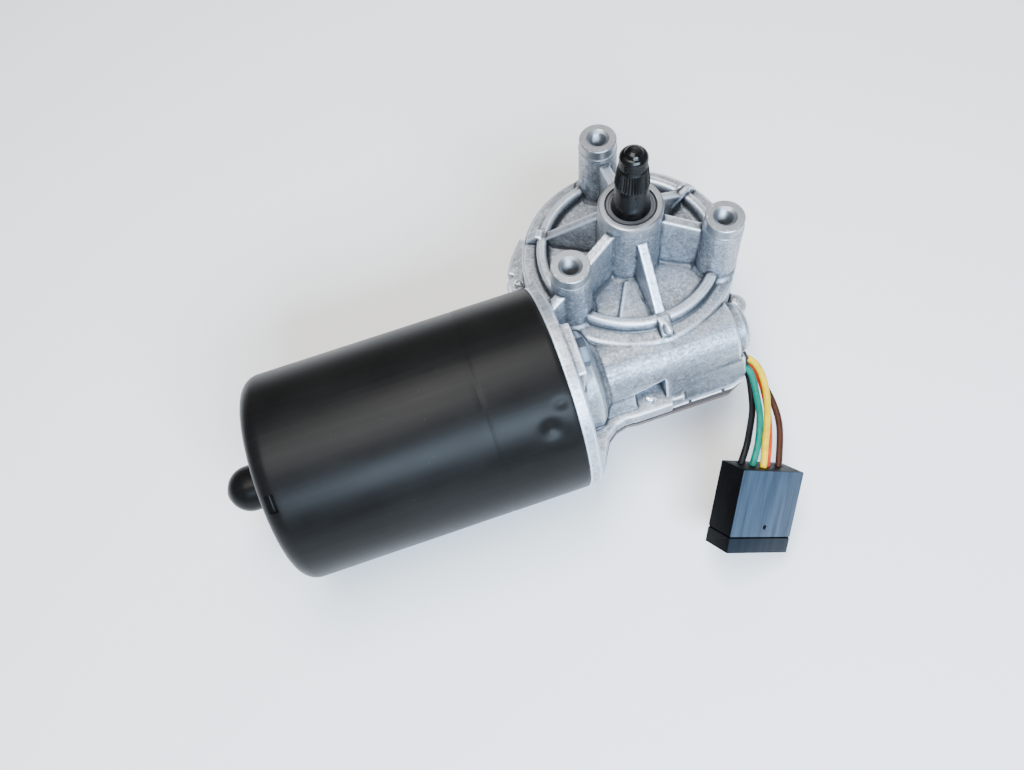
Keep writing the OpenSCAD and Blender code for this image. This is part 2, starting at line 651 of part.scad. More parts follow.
// worm pressed on the shaft against its shoulder
module worm() color(steel) difference() {
    union() {
        on_axis() x_rod(worm_root_r, -flange_x + bearing_w + 1.1, worm_end);
        worm_thread();
    }
    on_axis() x_rod(arm_shaft_r + slip, -flange_x, worm_end + 1);
}

thread_steps = 20;
pitch_half = (lead - backlash) / 4;
flank = tan(20);

// one turn of right-hand thread per lead, with a flank of 20 degrees and run-outs at both ends
module worm_thread() {
    n = floor(thread_steps * (worm_len - 2) / lead);
    base_r = worm_root_r - 0.4;
    half_tip = pitch_half - addendum * flank;
    half_base = pitch_half + (worm_pitch_r - base_r) * flank;
    pts = [for (i = [0:n]) let (a = 360 * (i - n / 2) / thread_steps, x = lead * a / 360,
            fade = min(1, i / 10, (n - i) / 10), tip = base_r + 0.2 + (worm_tip_r - base_r - 0.2) * fade)
        each [for (q = [[base_r, -half_base], [tip, -half_tip], [tip, half_tip], [base_r, half_base]])
            [x + q[1], q[0] * cos(a), q[0] * sin(a)]]];
    faces = concat([[3, 2, 1, 0]], [[for (k = [0:3]) 4 * n + k]],
        [for (i = [0:n - 1], k = [0:3]) let (a = 4 * i + k, b = 4 * i + (k + 1) % 4)
            each [[a, b, a + 4], [b, b + 4, a + 4]]]);
    on_axis() polyhedron(pts, faces);
}

core_x = magnet_end + magnet_over;
core_r = magnet_in_r - air_gap;

module armature_core() color([0.42, 0.42, 0.44]) across(core_x, core_len) difference() {
    circle(r = core_r, $fn = 96);
    circle(r = arm_shaft_r + slip, $fn = 48);
    for (k = [0:slots - 1]) rotate(k * 360 / slots) slot_plan(0);
}

module slot_plan(inset) {
    w = core_r * PI / slots;
    translate([core_r - 12.5 + inset, -w * 0.36 + inset]) polygon([[0, w * 0.16], [0, w * 0.56 - 2 * inset],
        [9.5 - 2 * inset, w * 0.98 - 2 * inset], [9.5 - 2 * inset, -w * 0.26]]);
    if (inset == 0) translate([core_r - 4, -1]) square([6, 2]);
}

module armature_windings() color(copper) {
    for (s = [[core_x - 9.1, core_x - 0.1], [core_x + core_len + 0.1, core_x + core_len + 8.1]])
        turned([[arm_shaft_r + 3, s[0]], [core_r - 7, s[0]], [core_r - 4, s[0] + 3], [core_r - 4, s[1] - 3],
            [core_r - 4, s[1]], [arm_shaft_r + 3, s[1]]]);
    for (k = [0:slots - 1]) across(core_x - 0.2, core_len + 0.4) rotate(k * 360 / slots) slot_plan(0.25);
}

comm_x = brush_x - comm_len / 2;

module commutator() color(copper) difference() {
    turned([[arm_shaft_r + slip, comm_x], [comm_r, comm_x], [comm_r, comm_x + comm_len],
        [arm_shaft_r + slip, comm_x + comm_len]]);
    for (k = [0:slots - 1]) round_axis(k * 360 / slots + 15) translate([comm_x - 1, comm_r - 1, -0.3])
        cube([comm_len + 2, 3, 0.6]);
}

// Output shaft and wheel

wheel_z = -axis_drop;
washer_t = 1.2;
hub_top = roof_z - 4 - rest_gap - washer_t - 0.05;
hub_low = wheel_z - wheel_w / 2 - 1;
hub_r = 11;
shaft_low_r = 6;

module output_shaft() color([0.14, 0.14, 0.15]) rotate_extrude($fn = 96) polygon([[0, button_top + 0.05],
    [shaft_low_r - 1, button_top + 0.05], [shaft_low_r, button_top + 1], [shaft_low_r, hub_top + 0.05],
    [journal_r, hub_top + 0.05], [journal_r, collar_rise], [cone_top_r, cone_h], [cone_top_r, cone_h + 0.4],
    [knurl_top_r, cone_h + knurl_h - 0.4], [thread_r - 0.2, cone_h + knurl_h],
    [thread_r - 0.2, cone_h + knurl_h + 2], [thread_r, cone_h + knurl_h + 2.4], [thread_r, tip_h - 5.4],
    [thread_r - 0.6, tip_h - 3.4],
    [thread_r - 1.7, tip_h - 1.6], [thread_r - 3.3, tip_h - 0.4], [0, tip_h]]);

module tooth_rim(w) {
    half = (lead - backlash) / 4 / wheel_pitch_r * 180 / PI;
    tip_half = half - addendum * flank / wheel_tip_r * 180 / PI;
    root_half = half + dedendum * flank / (wheel_pitch_r - dedendum) * 180 / PI;
    root_r = wheel_pitch_r - dedendum;
    // the helix of the teeth follows the lead of the worm
    twist = -w * lead / (2 * PI * worm_pitch_r) / wheel_pitch_r * 180 / PI;
    translate([0, 0, wheel_z]) rotate([0, 0, twist / 2])
        linear_extrude(w, twist = twist, slices = 2, center = true) polygon([for (k = [0:teeth - 1])
            let (a = -90 + (k + 0.5) * 360 / teeth)
                each [for (q = [[root_r, -root_half], [wheel_tip_r, -tip_half], [wheel_tip_r, tip_half],
                    [root_r, root_half]]) q[0] * [cos(a + q[1]), sin(a + q[1])]]]);
}

module worm_wheel() color([0.88, 0.86, 0.78]) difference() {
    tooth_rim(wheel_w);
    translate([0, 0, wheel_z - wheel_w]) cylinder(r = hub_r + slip, h = 2 * wheel_w, $fn = 64);
    // recess above the web, between the hub seat and the rim
    translate([0, 0, wheel_z + 1]) rotate_extrude($fn = 96) polygon([[hub_r + 4, 0], [wheel_pitch_r - 6, 0],
        [wheel_pitch_r - 5, wheel_w], [hub_r + 3.4, wheel_w]]);
}

module wheel_hub() color(steel) difference() {
    rotate_extrude($fn = 64) polygon([[shaft_low_r + slip, hub_low], [hub_r, hub_low],
        [hub_r, wheel_z + wheel_w / 2], [hub_r - 2, wheel_z + wheel_w / 2], [hub_r - 2, hub_top],
        [shaft_low_r + slip, hub_top]]);
}

module thrust_washer() color([0.75, 0.62, 0.3]) translate([0, 0, hub_top + 0.05]) rotate_extrude($fn = 64)
    polygon([[journal_r + run, 0], [collar_r, 0], [collar_r, washer_t], [journal_r + run, washer_t]]);

disc_z = wheel_z - wheel_w / 2;
disc_r = wheel_pitch_r - 7.4;

module park_disc() color(copper) translate([0, 0, disc_z - 0.7]) linear_extrude(0.7 - eps) difference() {
    circle(r = disc_r, $fn = 96);
    circle(r = disc_r - 12, $fn = 96);
    intersection() {
        circle(r = disc_r - 4, $fn = 96);
        sector(disc_r, 70, 104);
    }
}

module contact_plate() color([0.2, 0.16, 0.12]) translate([0, 0, cover_z + eps]) linear_extrude(1.4)
    difference() {
        circle(r = disc_r + 1, $fn = 96);
        circle(r = 9.4, $fn = 64);
        sector(disc_r + 4, -200, -20);
    }

spring_r = [disc_r - 10, disc_r - 6, disc_r - 2];

module contact_springs() color(copper) for (r = spring_r) rotate([0, 0, 88]) {
    z0 = cover_z + 1.4 + 2 * eps;
    rise = disc_z - 0.7 - rest_gap - z0;
    translate([r, 0, z0]) rotate([90, 0, 0]) linear_extrude(2.4, center = true) polygon([[-1.6, 0], [1.6, 0],
        [1.6, 0.4], [0.4, 0.5], [0.4, rise - 0.6], [0, rise], [-0.4, rise - 0.6], [-0.4, 0.5], [-1.6, 0.4]]);
}

// Leads and connector

module terminal_block() color([0.2, 0.2, 0.21]) difference() {
    lead_room(6.4, 13, 0.25, cover_z + 0.3);
    translate([11, -60, joint_z + 4]) cube([3, 20, 3]);
}

grommet_x = 31.4;

module lead_grommet() color([0.1, 0.1, 0.11]) {
    lead_room(20, 9.5, 0.45, joint_z + 1.5);
    lead_room(29 + eps, grommet_x - 29, 0.1, joint_z + 0.6);
}

// points that each lead passes, from the grommet to the connector
black_route = [[31, -55, -55.5], [30.5, -59.5, -57.5], [28.5, -66, -58.5], [25.5, -73, -57.5],
    [21, -79, -54.5], [16.5, -86, -53], [11.5, -91.5, -55]];
green_route = [[31, -55.5, -52.5], [31, -61, -54.5], [29, -68, -54.5], [27, -75, -53.5], [24, -81, -53.5],
    [20.5, -87.5, -54], [15.5, -93.5, -55.5]];
yellow_route = [[31, -51.5, -50.5], [34.5, -56.5, -51], [34, -65, -53], [31, -73.5, -54], [27, -81, -53],
    [22.5, -88.5, -52.5], [19.5, -95, -55.5]];
red_route = [[31, -51, -54], [34.5, -56, -55.5], [34, -64.5, -57], [32, -72.5, -57.5], [29, -80, -57],
    [25.5, -87.5, -57], [21.5, -94.5, -58.5]];
brown_route = [[31, -51, -57.5], [34.5, -55.5, -59.5], [36.5, -62, -61], [36.5, -71, -61.5], [35, -79.5, -61.5],
    [31, -87.5, -61.5], [27, -95, -62]];

// the route with a point halfway along each stretch, on a smooth curve
function smooth(p) = let (n = len(p) - 1) [for (i = [0:2 * n]) i % 2 == 0 ? p[i / 2] :
    let (k = (i - 1) / 2, a = p[max(k - 1, 0)], d = p[min(k + 2, n)]) (9 * (p[k] + p[k + 1]) - a - d) / 16];

// a tube swept along a route, with rings square to it
module lead_tube(points, d) {
    route = smooth(points);
    n = len(route);
    dirs = [for (i = [0:n - 1]) let (v = route[min(i + 1, n - 1)] - route[max(i - 1, 0)]) v / norm(v)];
    pts = [for (i = [0:n - 1])
        let (t = dirs[i], u0 = cross(t, [0.3, 0.2, 0.93]), u = u0 / norm(u0), w = cross(t, u))
            each [for (k = [0:7]) route[i] + d / 2 * (cos(45 * k) * u + sin(45 * k) * w)]];
    polyhedron(pts, concat([[for (k = [0:7]) k]], [[for (k = [7:-1:0]) 8 * (n - 1) + k]],
        [for (i = [0:n - 2], k = [0:7]) let (a = 8 * i + k, b = 8 * i + (k + 1) % 8)
            each [[a, a + 8, b], [b, a + 8, b + 8]]]));
}

module lead_black() color([0.08, 0.08, 0.09]) lead_tube(black_route, lead_d);
module lead_green() color([0.05, 0.55, 0.45]) lead_tube(green_route, lead_d);
module lead_yellow() color([0.93, 0.8, 0.12]) lead_tube(yellow_route, lead_d);
module lead_red() color([0.85, 0.25, 0.12]) lead_tube(red_route, lead_d);
module lead_brown() color([0.33, 0.18, 0.12]) lead_tube(brown_route, lead_d);

// the connector hangs on its leads: origin at the middle of the face that the leads enter
conn_at = [19.5, -95, -57];
conn_turn = [[0, 0, -32.6], [34.1, 0, 0], [0, 37.4, 0]];

module at_connector() translate(conn_at) rotate(conn_turn[0]) rotate(conn_turn[1]) rotate(conn_turn[2])
    children();

lock_t = 4;

module connector_housing() color([0.1, 0.11, 0.13]) at_connector() difference() {
    translate([-conn_w / 2, -conn_len, -conn_d / 2]) cube([conn_w, conn_len, conn_d]);
    // mating slots
    for (x = [-10, -5, 0, 5, 10], z = [-3, 3]) translate([x - 1.3, -conn_len - 1, z - 1.3])
        cube([2.6, 11, 2.6]);
    // groove round the lock
    translate([-conn_w / 2 - 1, -conn_len + 6, conn_d / 2 - 0.5]) cube([conn_w + 2, 0.7, 1]);
}

module connector_lock() color([0.12, 0.13, 0.15]) at_connector()
    translate([-conn_w / 2 + 6, -conn_len + 8, -conn_d / 2 - lock_t + eps - 0.02])
        cube([conn_w - 12, 14, lock_t]);

gear_case();
output_bushes();
shaft_seal();
cover_gasket();
cover_plate();
cover_screws();
thrust_button();
motor_can();
can_lugs();
can_bolts();
field_magnets();
magnet_clips();
rear_bush();
rear_ball();
bearing_outer_race();
bearing_balls();
brush_plate();
brushes();
brush_springs();
worm_bush();
thrust_adjuster();
armature_shaft();
worm();
bearing_inner_race();
armature_core();
armature_windings();
commutator();
output_shaft();
worm_wheel();
wheel_hub();
thrust_washer();
park_disc();
contact_plate();
contact_springs();
terminal_block();
lead_grommet();
lead_black();
lead_green();
lead_yellow();
lead_red();
lead_brown();
connector_housing();
connector_lock();
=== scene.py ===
"""Looks of a two-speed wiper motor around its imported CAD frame, laid out as a Blender add-on."""

import math

import bmesh
import bpy
import numpy as np
from mathutils import Matrix, Vector, noise


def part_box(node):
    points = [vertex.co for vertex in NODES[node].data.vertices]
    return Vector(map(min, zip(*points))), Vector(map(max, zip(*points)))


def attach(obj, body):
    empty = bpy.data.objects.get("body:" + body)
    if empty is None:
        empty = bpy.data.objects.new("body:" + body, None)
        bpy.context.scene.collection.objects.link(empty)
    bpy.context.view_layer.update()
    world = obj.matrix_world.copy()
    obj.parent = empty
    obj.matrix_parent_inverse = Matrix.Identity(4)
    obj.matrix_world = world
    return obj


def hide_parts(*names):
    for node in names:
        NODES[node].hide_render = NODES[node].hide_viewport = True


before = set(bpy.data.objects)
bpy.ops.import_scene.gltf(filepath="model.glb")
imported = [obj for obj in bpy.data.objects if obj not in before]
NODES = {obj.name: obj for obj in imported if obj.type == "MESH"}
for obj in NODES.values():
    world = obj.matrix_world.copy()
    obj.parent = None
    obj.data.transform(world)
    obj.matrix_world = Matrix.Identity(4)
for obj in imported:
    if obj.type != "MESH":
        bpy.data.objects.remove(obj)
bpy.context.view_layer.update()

bl_info = {
    "name": "Wiper Motor",
    "version": (1, 0, 0),
    "blender": (4, 5, 0),
    "location": "View3D > Sidebar > Wiper Motor",
    "description": "Visible pieces and finishes of a wiper motor with its leads and connector",
    "category": "Object",
}

# Sizes are in millimetres, and azimuths in degrees about the output shaft or about the motor axis.
MM = 0.001
MOTOR_AXIS = Vector((0.0, -40.0, -46.0)) * MM
CAN_FRONT, CAN_REAR, CAN_R, CAN_WALL = -46.0, -161.3, 41.25, 2.25
NOSE_R, NOSE_END = 9.0, -180.0
DRAIN_AZIMUTHS = (126, 306)
BOSS_CIRCLE_R, BOSS_AZIMUTHS = 35, (90, 210, 330)
BOLT_CIRCLE_R, BOLT_AZIMUTHS, BOLT_SEAT = 30, (98, 278), -38
EAR_CIRCLE_R, EAR_AZIMUTHS = 46, (-36.6, 55, 110, 162.6)
SHELF_SCREW = (-12, -56)
COVER_JOINT = -57.9
TEETH_FROM, TEETH_TO = 13.7, 22.0
THREAD_FROM, THREAD_TO, THREAD_PITCH = 23.6, 27.6, 1.25
MOST_TRIANGLES, THINNED_TRIANGLES = 195000, 190000

# The photograph's camera, in the part's frame.
PHOTO_WIDTH_PX, PHOTO_FOCAL_PX, SENSOR_MM = 1024, 877.4959, 36.0
CAMERA_PLACE = Vector((-85.193, -188.316, 268.611)) * MM
CAMERA_RIGHT = Vector((0.94716, -0.30992, -0.08269))
CAMERA_DOWN = Vector((-0.31383, -0.84208, -0.43866))
CAMERA_AHEAD = Vector((0.06632, 0.44143, -0.89484))

# The floor's height and the point that the lights face, in metres like the lights' own places.
FLOOR_Z = -87.8 * MM
LIGHTS_AIM = Vector((-0.05, -0.03, -0.04))


# Finishes


class Finish:
    """Lays out the nodes of one material around a Principled shader."""

    def __init__(self, name, metallic=0.0, **sockets):
        self.material = bpy.data.materials.new(name)
        self.material.use_nodes = True
        self.tree = self.material.node_tree
        self.tree.nodes.clear()
        self.out = self.node("ShaderNodeOutputMaterial")
        self.shader = self.node("ShaderNodeBsdfPrincipled")
        self.shader.inputs["Metallic"].default_value = metallic
        for key, value in sockets.items():
            self.shader.inputs[key.replace("_", " ")].default_value = value
        self.link(self.shader.outputs[0], self.out.inputs[0])
        self.coords = self.node("ShaderNodeTexCoord").outputs["Object"]
        self.normal = None

    def node(self, kind, **settings):
        made = self.tree.nodes.new(kind)
        for key, value in settings.items():
            setattr(made, key, value)
        return made

    def link(self, source, target):
        self.tree.links.new(source, target)

    def stretched(self, scale, turn=(0, 0, 0)):
        """Coordinates turned back by an angle and then scaled along each axis."""
        mapping = self.node("ShaderNodeMapping", vector_type="TEXTURE")
        mapping.inputs["Scale"].default_value = [1.0 / k for k in scale]
        mapping.inputs["Rotation"].default_value = turn
        self.link(self.coords, mapping.inputs["Vector"])
        return mapping.outputs[0]

    def grain(self, scale, detail=3.0, roughness=0.55, vector=None):
        """Noise with as many features a metre as scale says."""
        made = self.node("ShaderNodeTexNoise")
        made.inputs["Scale"].default_value = scale
        made.inputs["Detail"].default_value = detail
        made.inputs["Roughness"].default_value = roughness
        self.link(vector or self.coords, made.inputs["Vector"])
        return made.outputs[0]

    def cells(self, scale):
        made = self.node("ShaderNodeTexVoronoi")
        made.inputs["Scale"].default_value = scale
        self.link(self.coords, made.inputs["Vector"])
        return made.outputs["Distance"]

    def spread(self, value, low, high, to_low, to_high):
        """The value between low and high, spread over another range and held at its ends."""
        made = self.node("ShaderNodeMapRange")
        ends = {"From Min": low, "From Max": high, "To Min": to_low, "To Max": to_high}
        for key, number in ends.items():
            made.inputs[key].default_value = number
        self.link(value, made.inputs["Value"])
        return made.outputs[0]

    def ramp(self, value, stops):
        made = self.node("ShaderNodeValToRGB")
        elements = made.color_ramp.elements
        while len(elements) < len(stops):
            elements.new(0.5)
        for element, (place, colour) in zip(elements, stops):
            element.position = place
            element.color = (*colour[:3], 1.0)
        self.link(value, made.inputs[0])
        return made.outputs[0]

    def mixed(self, factor, first, second):
        made = self.node("ShaderNodeMix", data_type="RGBA")
        self.put(made.inputs[0], factor)
        self.put(made.inputs[6], first)
        self.put(made.inputs[7], second)
        return made.outputs[2]

    def put(self, socket, value):
        if isinstance(value, bpy.types.NodeSocket):
            self.link(value, socket)
        elif hasattr(value, "__len__"):
            socket.default_value = (*value[:3], 1.0)
        else:
            socket.default_value = value

    def attribute(self, name):
        return self.node("ShaderNodeAttribute", attribute_name=name).outputs["Fac"]

    def height(self, value, strength, distance):
        """Adds a bump to the ones that are there already."""
        made = self.node("ShaderNodeBump")
        made.inputs["Strength"].default_value = strength
        made.inputs["Distance"].default_value = distance
        self.link(value, made.inputs["Height"])
        if self.normal is not None:
            self.link(self.normal, made.inputs["Normal"])
        self.normal = made.outputs[0]

    def done(self, colour=None, roughness=None):
        if colour is not None:
            self.link(colour, self.shader.inputs["Base Color"])
        if roughness is not None:
            self.link(roughness, self.shader.inputs["Roughness"])
        if self.normal is not None:
            self.link(self.normal, self.shader.inputs["Normal"])
        return self.material


def shade(colour, factor):
    return tuple(min(1.0, c * factor) for c in colour[:3])


def plain_finish(name, colour, metallic, rough, grain_mm, depth_mm, **sockets):
    """A finish with fine grain, soft blotches of tone and a roughness that follows them."""
    f = Finish(name, metallic, **sockets)
    patches = f.grain(90.0, 4.0)
    fine = f.grain(1000.0 / grain_mm, 3.0)
    tone = f.ramp(patches, [(0.3, shade(colour, 0.82)), (0.7, shade(colour, 1.18))])
    tone = f.mixed(f.spread(fine, 0.3, 0.7, 0.0, 0.35), tone, shade(colour, 0.72))
    f.height(fine, 0.5, depth_mm * MM)
    return f.done(tone, f.spread(patches, 0.3, 0.7, rough - 0.06, rough + 0.08))


def turned_finish(name, colour, metallic, rough, axis="X"):
    """Fine lathe marks that run round a turned part."""
    f = Finish(name, metallic)
    along = {"X": (2600.0, 12.0, 12.0), "Z": (12.0, 12.0, 2600.0)}[axis]
    marks = f.grain(1.0, 2.0, vector=f.stretched(along))
    patches = f.grain(160.0, 3.0)
    tone = f.ramp(patches, [(0.3, shade(colour, 0.82)), (0.7, shade(colour, 1.12))])
    tone = f.mixed(f.spread(marks, 0.35, 0.65, 0.0, 0.3), tone, shade(colour, 0.7))
    f.height(marks, 0.35, 0.02 * MM)
    return f.done(tone, f.spread(marks, 0.3, 0.7, rough - 0.05, rough + 0.1))


def cast_alloy_finish(colour, grit):
    """Blasted die casting: sandy grain, bright rubbed edges, and painted shade that darkens the
    inner corners and hollows.
    """
    f = Finish("cast alloy", metallic=0.82)
    # The attribute holds convexity for the rubbed edges and hollowness for the painted shade.
    wear_and_shade = f.attribute("edge_wear")
    patches = f.grain(60.0, 5.0, 0.6)
    sand = f.grain(1000.0 / grit, 4.0, 0.7)
    fine = f.grain(3400.0 / grit, 3.0, 0.6)
    pits = f.cells(900.0 / grit)
    mottle = f.grain(400.0, 3.0, 0.6)
    warm = shade((colour[0] * 1.06, colour[1], colour[2] * 0.97), 1.2)
    tone = f.ramp(patches, [(0.3, shade(colour, 0.72)), (0.5, colour), (0.72, warm)])
    tone = f.mixed(f.spread(sand, 0.34, 0.49, 0.75, 0.0), tone, shade(colour, 0.42))
    tone = f.mixed(f.spread(sand, 0.53, 0.68, 0.0, 0.85), tone, shade(colour, 1.8))
    tone = f.mixed(f.spread(mottle, 0.36, 0.48, 0.5, 0.0), tone, shade(colour, 0.5))
    tone = f.mixed(f.spread(mottle, 0.56, 0.68, 0.0, 0.4), tone, shade(colour, 1.7))
    # Bright rubbed edges on the convex places.
    tone = f.mixed(f.spread(wear_and_shade, 0.05, 0.5, 0.0, 1.0), tone, shade(colour, 2.4))
    # Painted shade: hollows and inner corners are darkened to a fifth of the colour.
    tone = f.mixed(f.spread(wear_and_shade, -0.45, -0.03, 0.85, 0.0), tone, shade(colour, 0.2))
    f.height(patches, 0.3, 0.5 * MM)
    f.height(sand, 0.7, 0.2 * MM)
    f.height(fine, 0.4, 0.05 * MM)
    f.height(pits, 0.25, 0.06 * MM)
    return f.done(tone, f.spread(sand, 0.35, 0.65, 0.52, 0.34))


def can_paint_finish(colour):
    """Satin black paint on drawn steel, with faint drawing lines and small chips."""
    f = Finish("can paint", Specular_IOR_Level=0.09)
    drawn = f.grain(1.0, 3.0, vector=f.stretched((14.0, 420.0, 420.0)))
    peel = f.grain(520.0, 2.0)
    clouds = f.grain(26.0, 4.0)
    chips = f.grain(900.0, 1.0)
    tone = f.ramp(clouds, [(0.3, shade(colour, 0.8)), (0.7, shade(colour, 1.35))])
    tone = f.mixed(f.spread(drawn, 0.5, 0.75, 0.0, 0.35), tone, shade(colour, 2.0))
    tone = f.mixed(f.spread(chips, 0.81, 0.83, 0.0, 0.5), tone, (0.06, 0.06, 0.065))
    f.height(drawn, 0.12, 0.05 * MM)
    f.height(peel, 0.16, 0.05 * MM)
    return f.done(tone, f.spread(clouds, 0.3, 0.7, 0.3, 0.4))


def oiled_steel_finish(colour):
    """Blackened steel under a film of oil."""
    f = Finish("oiled steel", Specular_IOR_Level=0.18, Coat_Weight=0.08, Coat_Roughness=0.08)
    smears = f.grain(260.0, 4.0, vector=f.stretched((1.0, 1.0, 0.35)))
    fine = f.grain(1800.0, 2.0)
    tone = f.ramp(smears, [(0.3, shade(colour, 0.6)), (0.7, shade(colour, 1.7))])
    f.height(fine, 0.3, 0.03 * MM)
    f.height(smears, 0.3, 0.08 * MM)
    return f.done(tone, f.spread(smears, 0.35, 0.65, 0.16, 0.5))


def moulded_finish(name, colour, light, rough, specular=0.5, turn=(0.3, 0.2, -0.5),
                   stretch=(160.0, 45.0, 160.0)):
    """Moulded plastic with flow marks and rubbed patches."""
    f = Finish(name, Specular_IOR_Level=specular)
    flow = f.grain(1.0, 4.0, vector=f.stretched(stretch, turn))
    fine = f.grain(1500.0, 2.0)
    tone = f.ramp(flow, [(0.32, colour), (0.72, light)])
    f.height(fine, 0.35, 0.03 * MM)
    f.height(flow, 0.2, 0.08 * MM)
    return f.done(tone, f.spread(flow, 0.3, 0.7, rough + 0.08, rough - 0.06))


def lead_finish(name, colour):
    """Soft PVC sleeve of a lead, a little dusty along its length."""
    f = Finish(name, Specular_IOR_Level=0.18)
    dust = f.grain(320.0, 3.0)
    fine = f.grain(1700.0, 2.0)
    tone = f.ramp(dust, [(0.3, shade(colour, 0.78)), (0.7, shade(colour, 1.15))])
    f.height(fine, 0.25, 0.03 * MM)
    return f.done(tone, f.spread(dust, 0.3, 0.7, 0.34, 0.48))


# Mesh helpers


def scaled_points(points):
    return [Vector(p) * MM for p in points]


def turned_full_circle(bm, geom, axis, segments):
    bmesh.ops.spin(bm, geom=geom, cent=(0, 0, 0), axis=axis, dvec=(0, 0, 0), angle=2 * math.pi,
                   steps=segments, use_merge=True, use_duplicate=False)
    bmesh.ops.remove_doubles(bm, verts=bm.verts, dist=1e-7)
    bmesh.ops.recalc_face_normals(bm, faces=bm.faces)


def moved(x, y, z):
    """The matrix of a shift given in millimetres."""
    return Matrix.Translation(Vector((x, y, z)) * MM)


def turned(degrees, axis):
    return Matrix.Rotation(math.radians(degrees), 4, axis)


def on_circle(radius, azimuth):
    turn = math.radians(azimuth)
    return radius * math.cos(turn), radius * math.sin(turn)


def spun(profile, axis, segments):
    """A closed profile of (radius, along) in millimetres, turned a full circle about X or Z."""
    bm = bmesh.new()
    if axis == "X":
        verts = [bm.verts.new((a * MM, 0.0, r * MM)) for r, a in profile]
    else:
        verts = [bm.verts.new((r * MM, 0.0, a * MM)) for r, a in profile]
    edges = [bm.edges.new((a, b)) for a, b in zip(verts, verts[1:])]
    if profile[0][0] > 0 and profile[-1][0] > 0:
        edges.append(bm.edges.new((verts[-1], verts[0])))
    spin_axis = (1.0, 0.0, 0.0) if axis == "X" else (0.0, 0.0, 1.0)
    turned_full_circle(bm, verts + edges, spin_axis, segments)
    return bm


def closed_shell(profile, segments):
    """A shell about X whose profile runs from the rim over the pole and back inside to the rim."""
    bm = bmesh.new()
    verts = [bm.verts.new((a * MM, 0.0, r * MM)) for r, a in profile]
    edges = []
    for a, b in zip(verts, verts[1:] + verts[:1]):
        on_axis = a.co.z < 1e-9 and b.co.z < 1e-9
        if not on_axis:
            edges.append(bm.edges.new((a, b)))
    turned_full_circle(bm, verts + edges, (1.0, 0.0, 0.0), segments)
    return bm


def fine_profile(profile, step):
    """The profile with points added so that none of its stretches is longer than step."""
    fine = [profile[0]]
    for (r0, a0), (r1, a1) in zip(profile, profile[1:]):
        count = max(1, math.ceil(math.hypot(r1 - r0, a1 - a0) / step))
        fine += [(r0 + (r1 - r0) * k / count, a0 + (a1 - a0) * k / count)
                 for k in range(1, count + 1)]
    return fine


def arc_profile(centre, radius, start, end, steps):
    """Points of (radius, along) on an arc, with 0 degrees away from the axis and 90 along it."""
    turns = [math.radians(start + (end - start) * k / steps) for k in range(steps + 1)]
    return [(centre[0] + radius * math.cos(t), centre[1] + radius * math.sin(t)) for t in turns]


def finished_piece(name, bm, material, body, replaces=(), sharp=32.0):
    """Turns a bmesh into a shaded piece that rides on a body of the frame."""
    mesh = bpy.data.meshes.new(name)
    for face in bm.faces:
        face.smooth = True
    bm.to_mesh(mesh)
    bm.free()
    piece = bpy.data.objects.new(name, mesh)
    bpy.context.scene.collection.objects.link(piece)
    if sharp:
        mesh.set_sharp_from_angle(angle=math.radians(sharp))
    mesh.materials.append(material)
    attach(piece, body)
    if replaces:
        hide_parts(*replaces)
    return piece


def baked_mesh(piece):
    """Applies a piece's modifiers to its mesh."""
    graph = bpy.context.evaluated_depsgraph_get()
    mesh = bpy.data.meshes.new_from_object(piece.evaluated_get(graph))
    piece.modifiers.clear()
    old = piece.data
    piece.data = mesh
    bpy.data.meshes.remove(old)
    return mesh


def temporary(name, bm):
    """A plain object that holds the bmesh, for the floor and for cutting."""
    mesh = bpy.data.meshes.new(name)
    bm.to_mesh(mesh)
    bm.free()
    made = bpy.data.objects.new(name, mesh)
    bpy.context.scene.collection.objects.link(made)
    return made


def carved(bm, cutters):
    """The bmesh with the closed cutters taken out of it."""
    body = temporary("uncarved", bm)
    tools = [temporary("cutter", cutter) for cutter in cutters]
    for tool in tools:
        cut = body.modifiers.new("cut", "BOOLEAN")
        cut.operation, cut.solver, cut.object = "DIFFERENCE", "EXACT", tool
    baked_mesh(body)
    result = bmesh.new()
    result.from_mesh(body.data)
    for made in [body, *tools]:
        mesh = made.data
        bpy.data.objects.remove(made)
        bpy.data.meshes.remove(mesh)
    return result


def box_bm(size, matrix):
    bm = bmesh.new()
    stretch = Matrix.Diagonal((*[s * MM for s in size], 1.0))
    bmesh.ops.create_cube(bm, size=1.0, matrix=matrix @ stretch)
    return bm


def bevelled(bm, width, segments=3):
    """The bmesh with each edge that turns by more than 25 degrees rounded."""
    edges = [e for e in bm.edges if e.is_manifold and e.calc_face_angle(0.0) > math.radians(25)]
    bmesh.ops.bevel(bm, geom=edges, offset=width * MM, offset_type="OFFSET", affect="EDGES",
                    segments=segments, profile=0.5, material=-1, clamp_overlap=True)
    return bm


def merged(parts):
    """One bmesh from several."""
    bm = bmesh.new()
    for part in parts:
        mesh = bpy.data.meshes.new("part")
        part.to_mesh(mesh)
        part.free()
        bm.from_mesh(mesh)
        bpy.data.meshes.remove(mesh)
    return bm


def at_motor_axis(bm):
    bmesh.ops.translate(bm, verts=bm.verts, vec=MOTOR_AXIS)
    return bm


# Settings


def colour_property(name, text, default):
    return bpy.props.FloatVectorProperty(name=name, description=text, subtype="COLOR", size=3,
                                         min=0, max=1, default=default)


def length_property(name, text, default, low, high):
    return bpy.props.FloatProperty(name=name, description=text, default=default * MM,
                                   min=low * MM, max=high * MM, unit="LENGTH",
                                   subtype="DISTANCE", precision=5)


def power_property(name, text, default):
    return bpy.props.FloatProperty(name=name, description=text, default=default, min=0.0,
                                   max=100.0, unit="POWER")


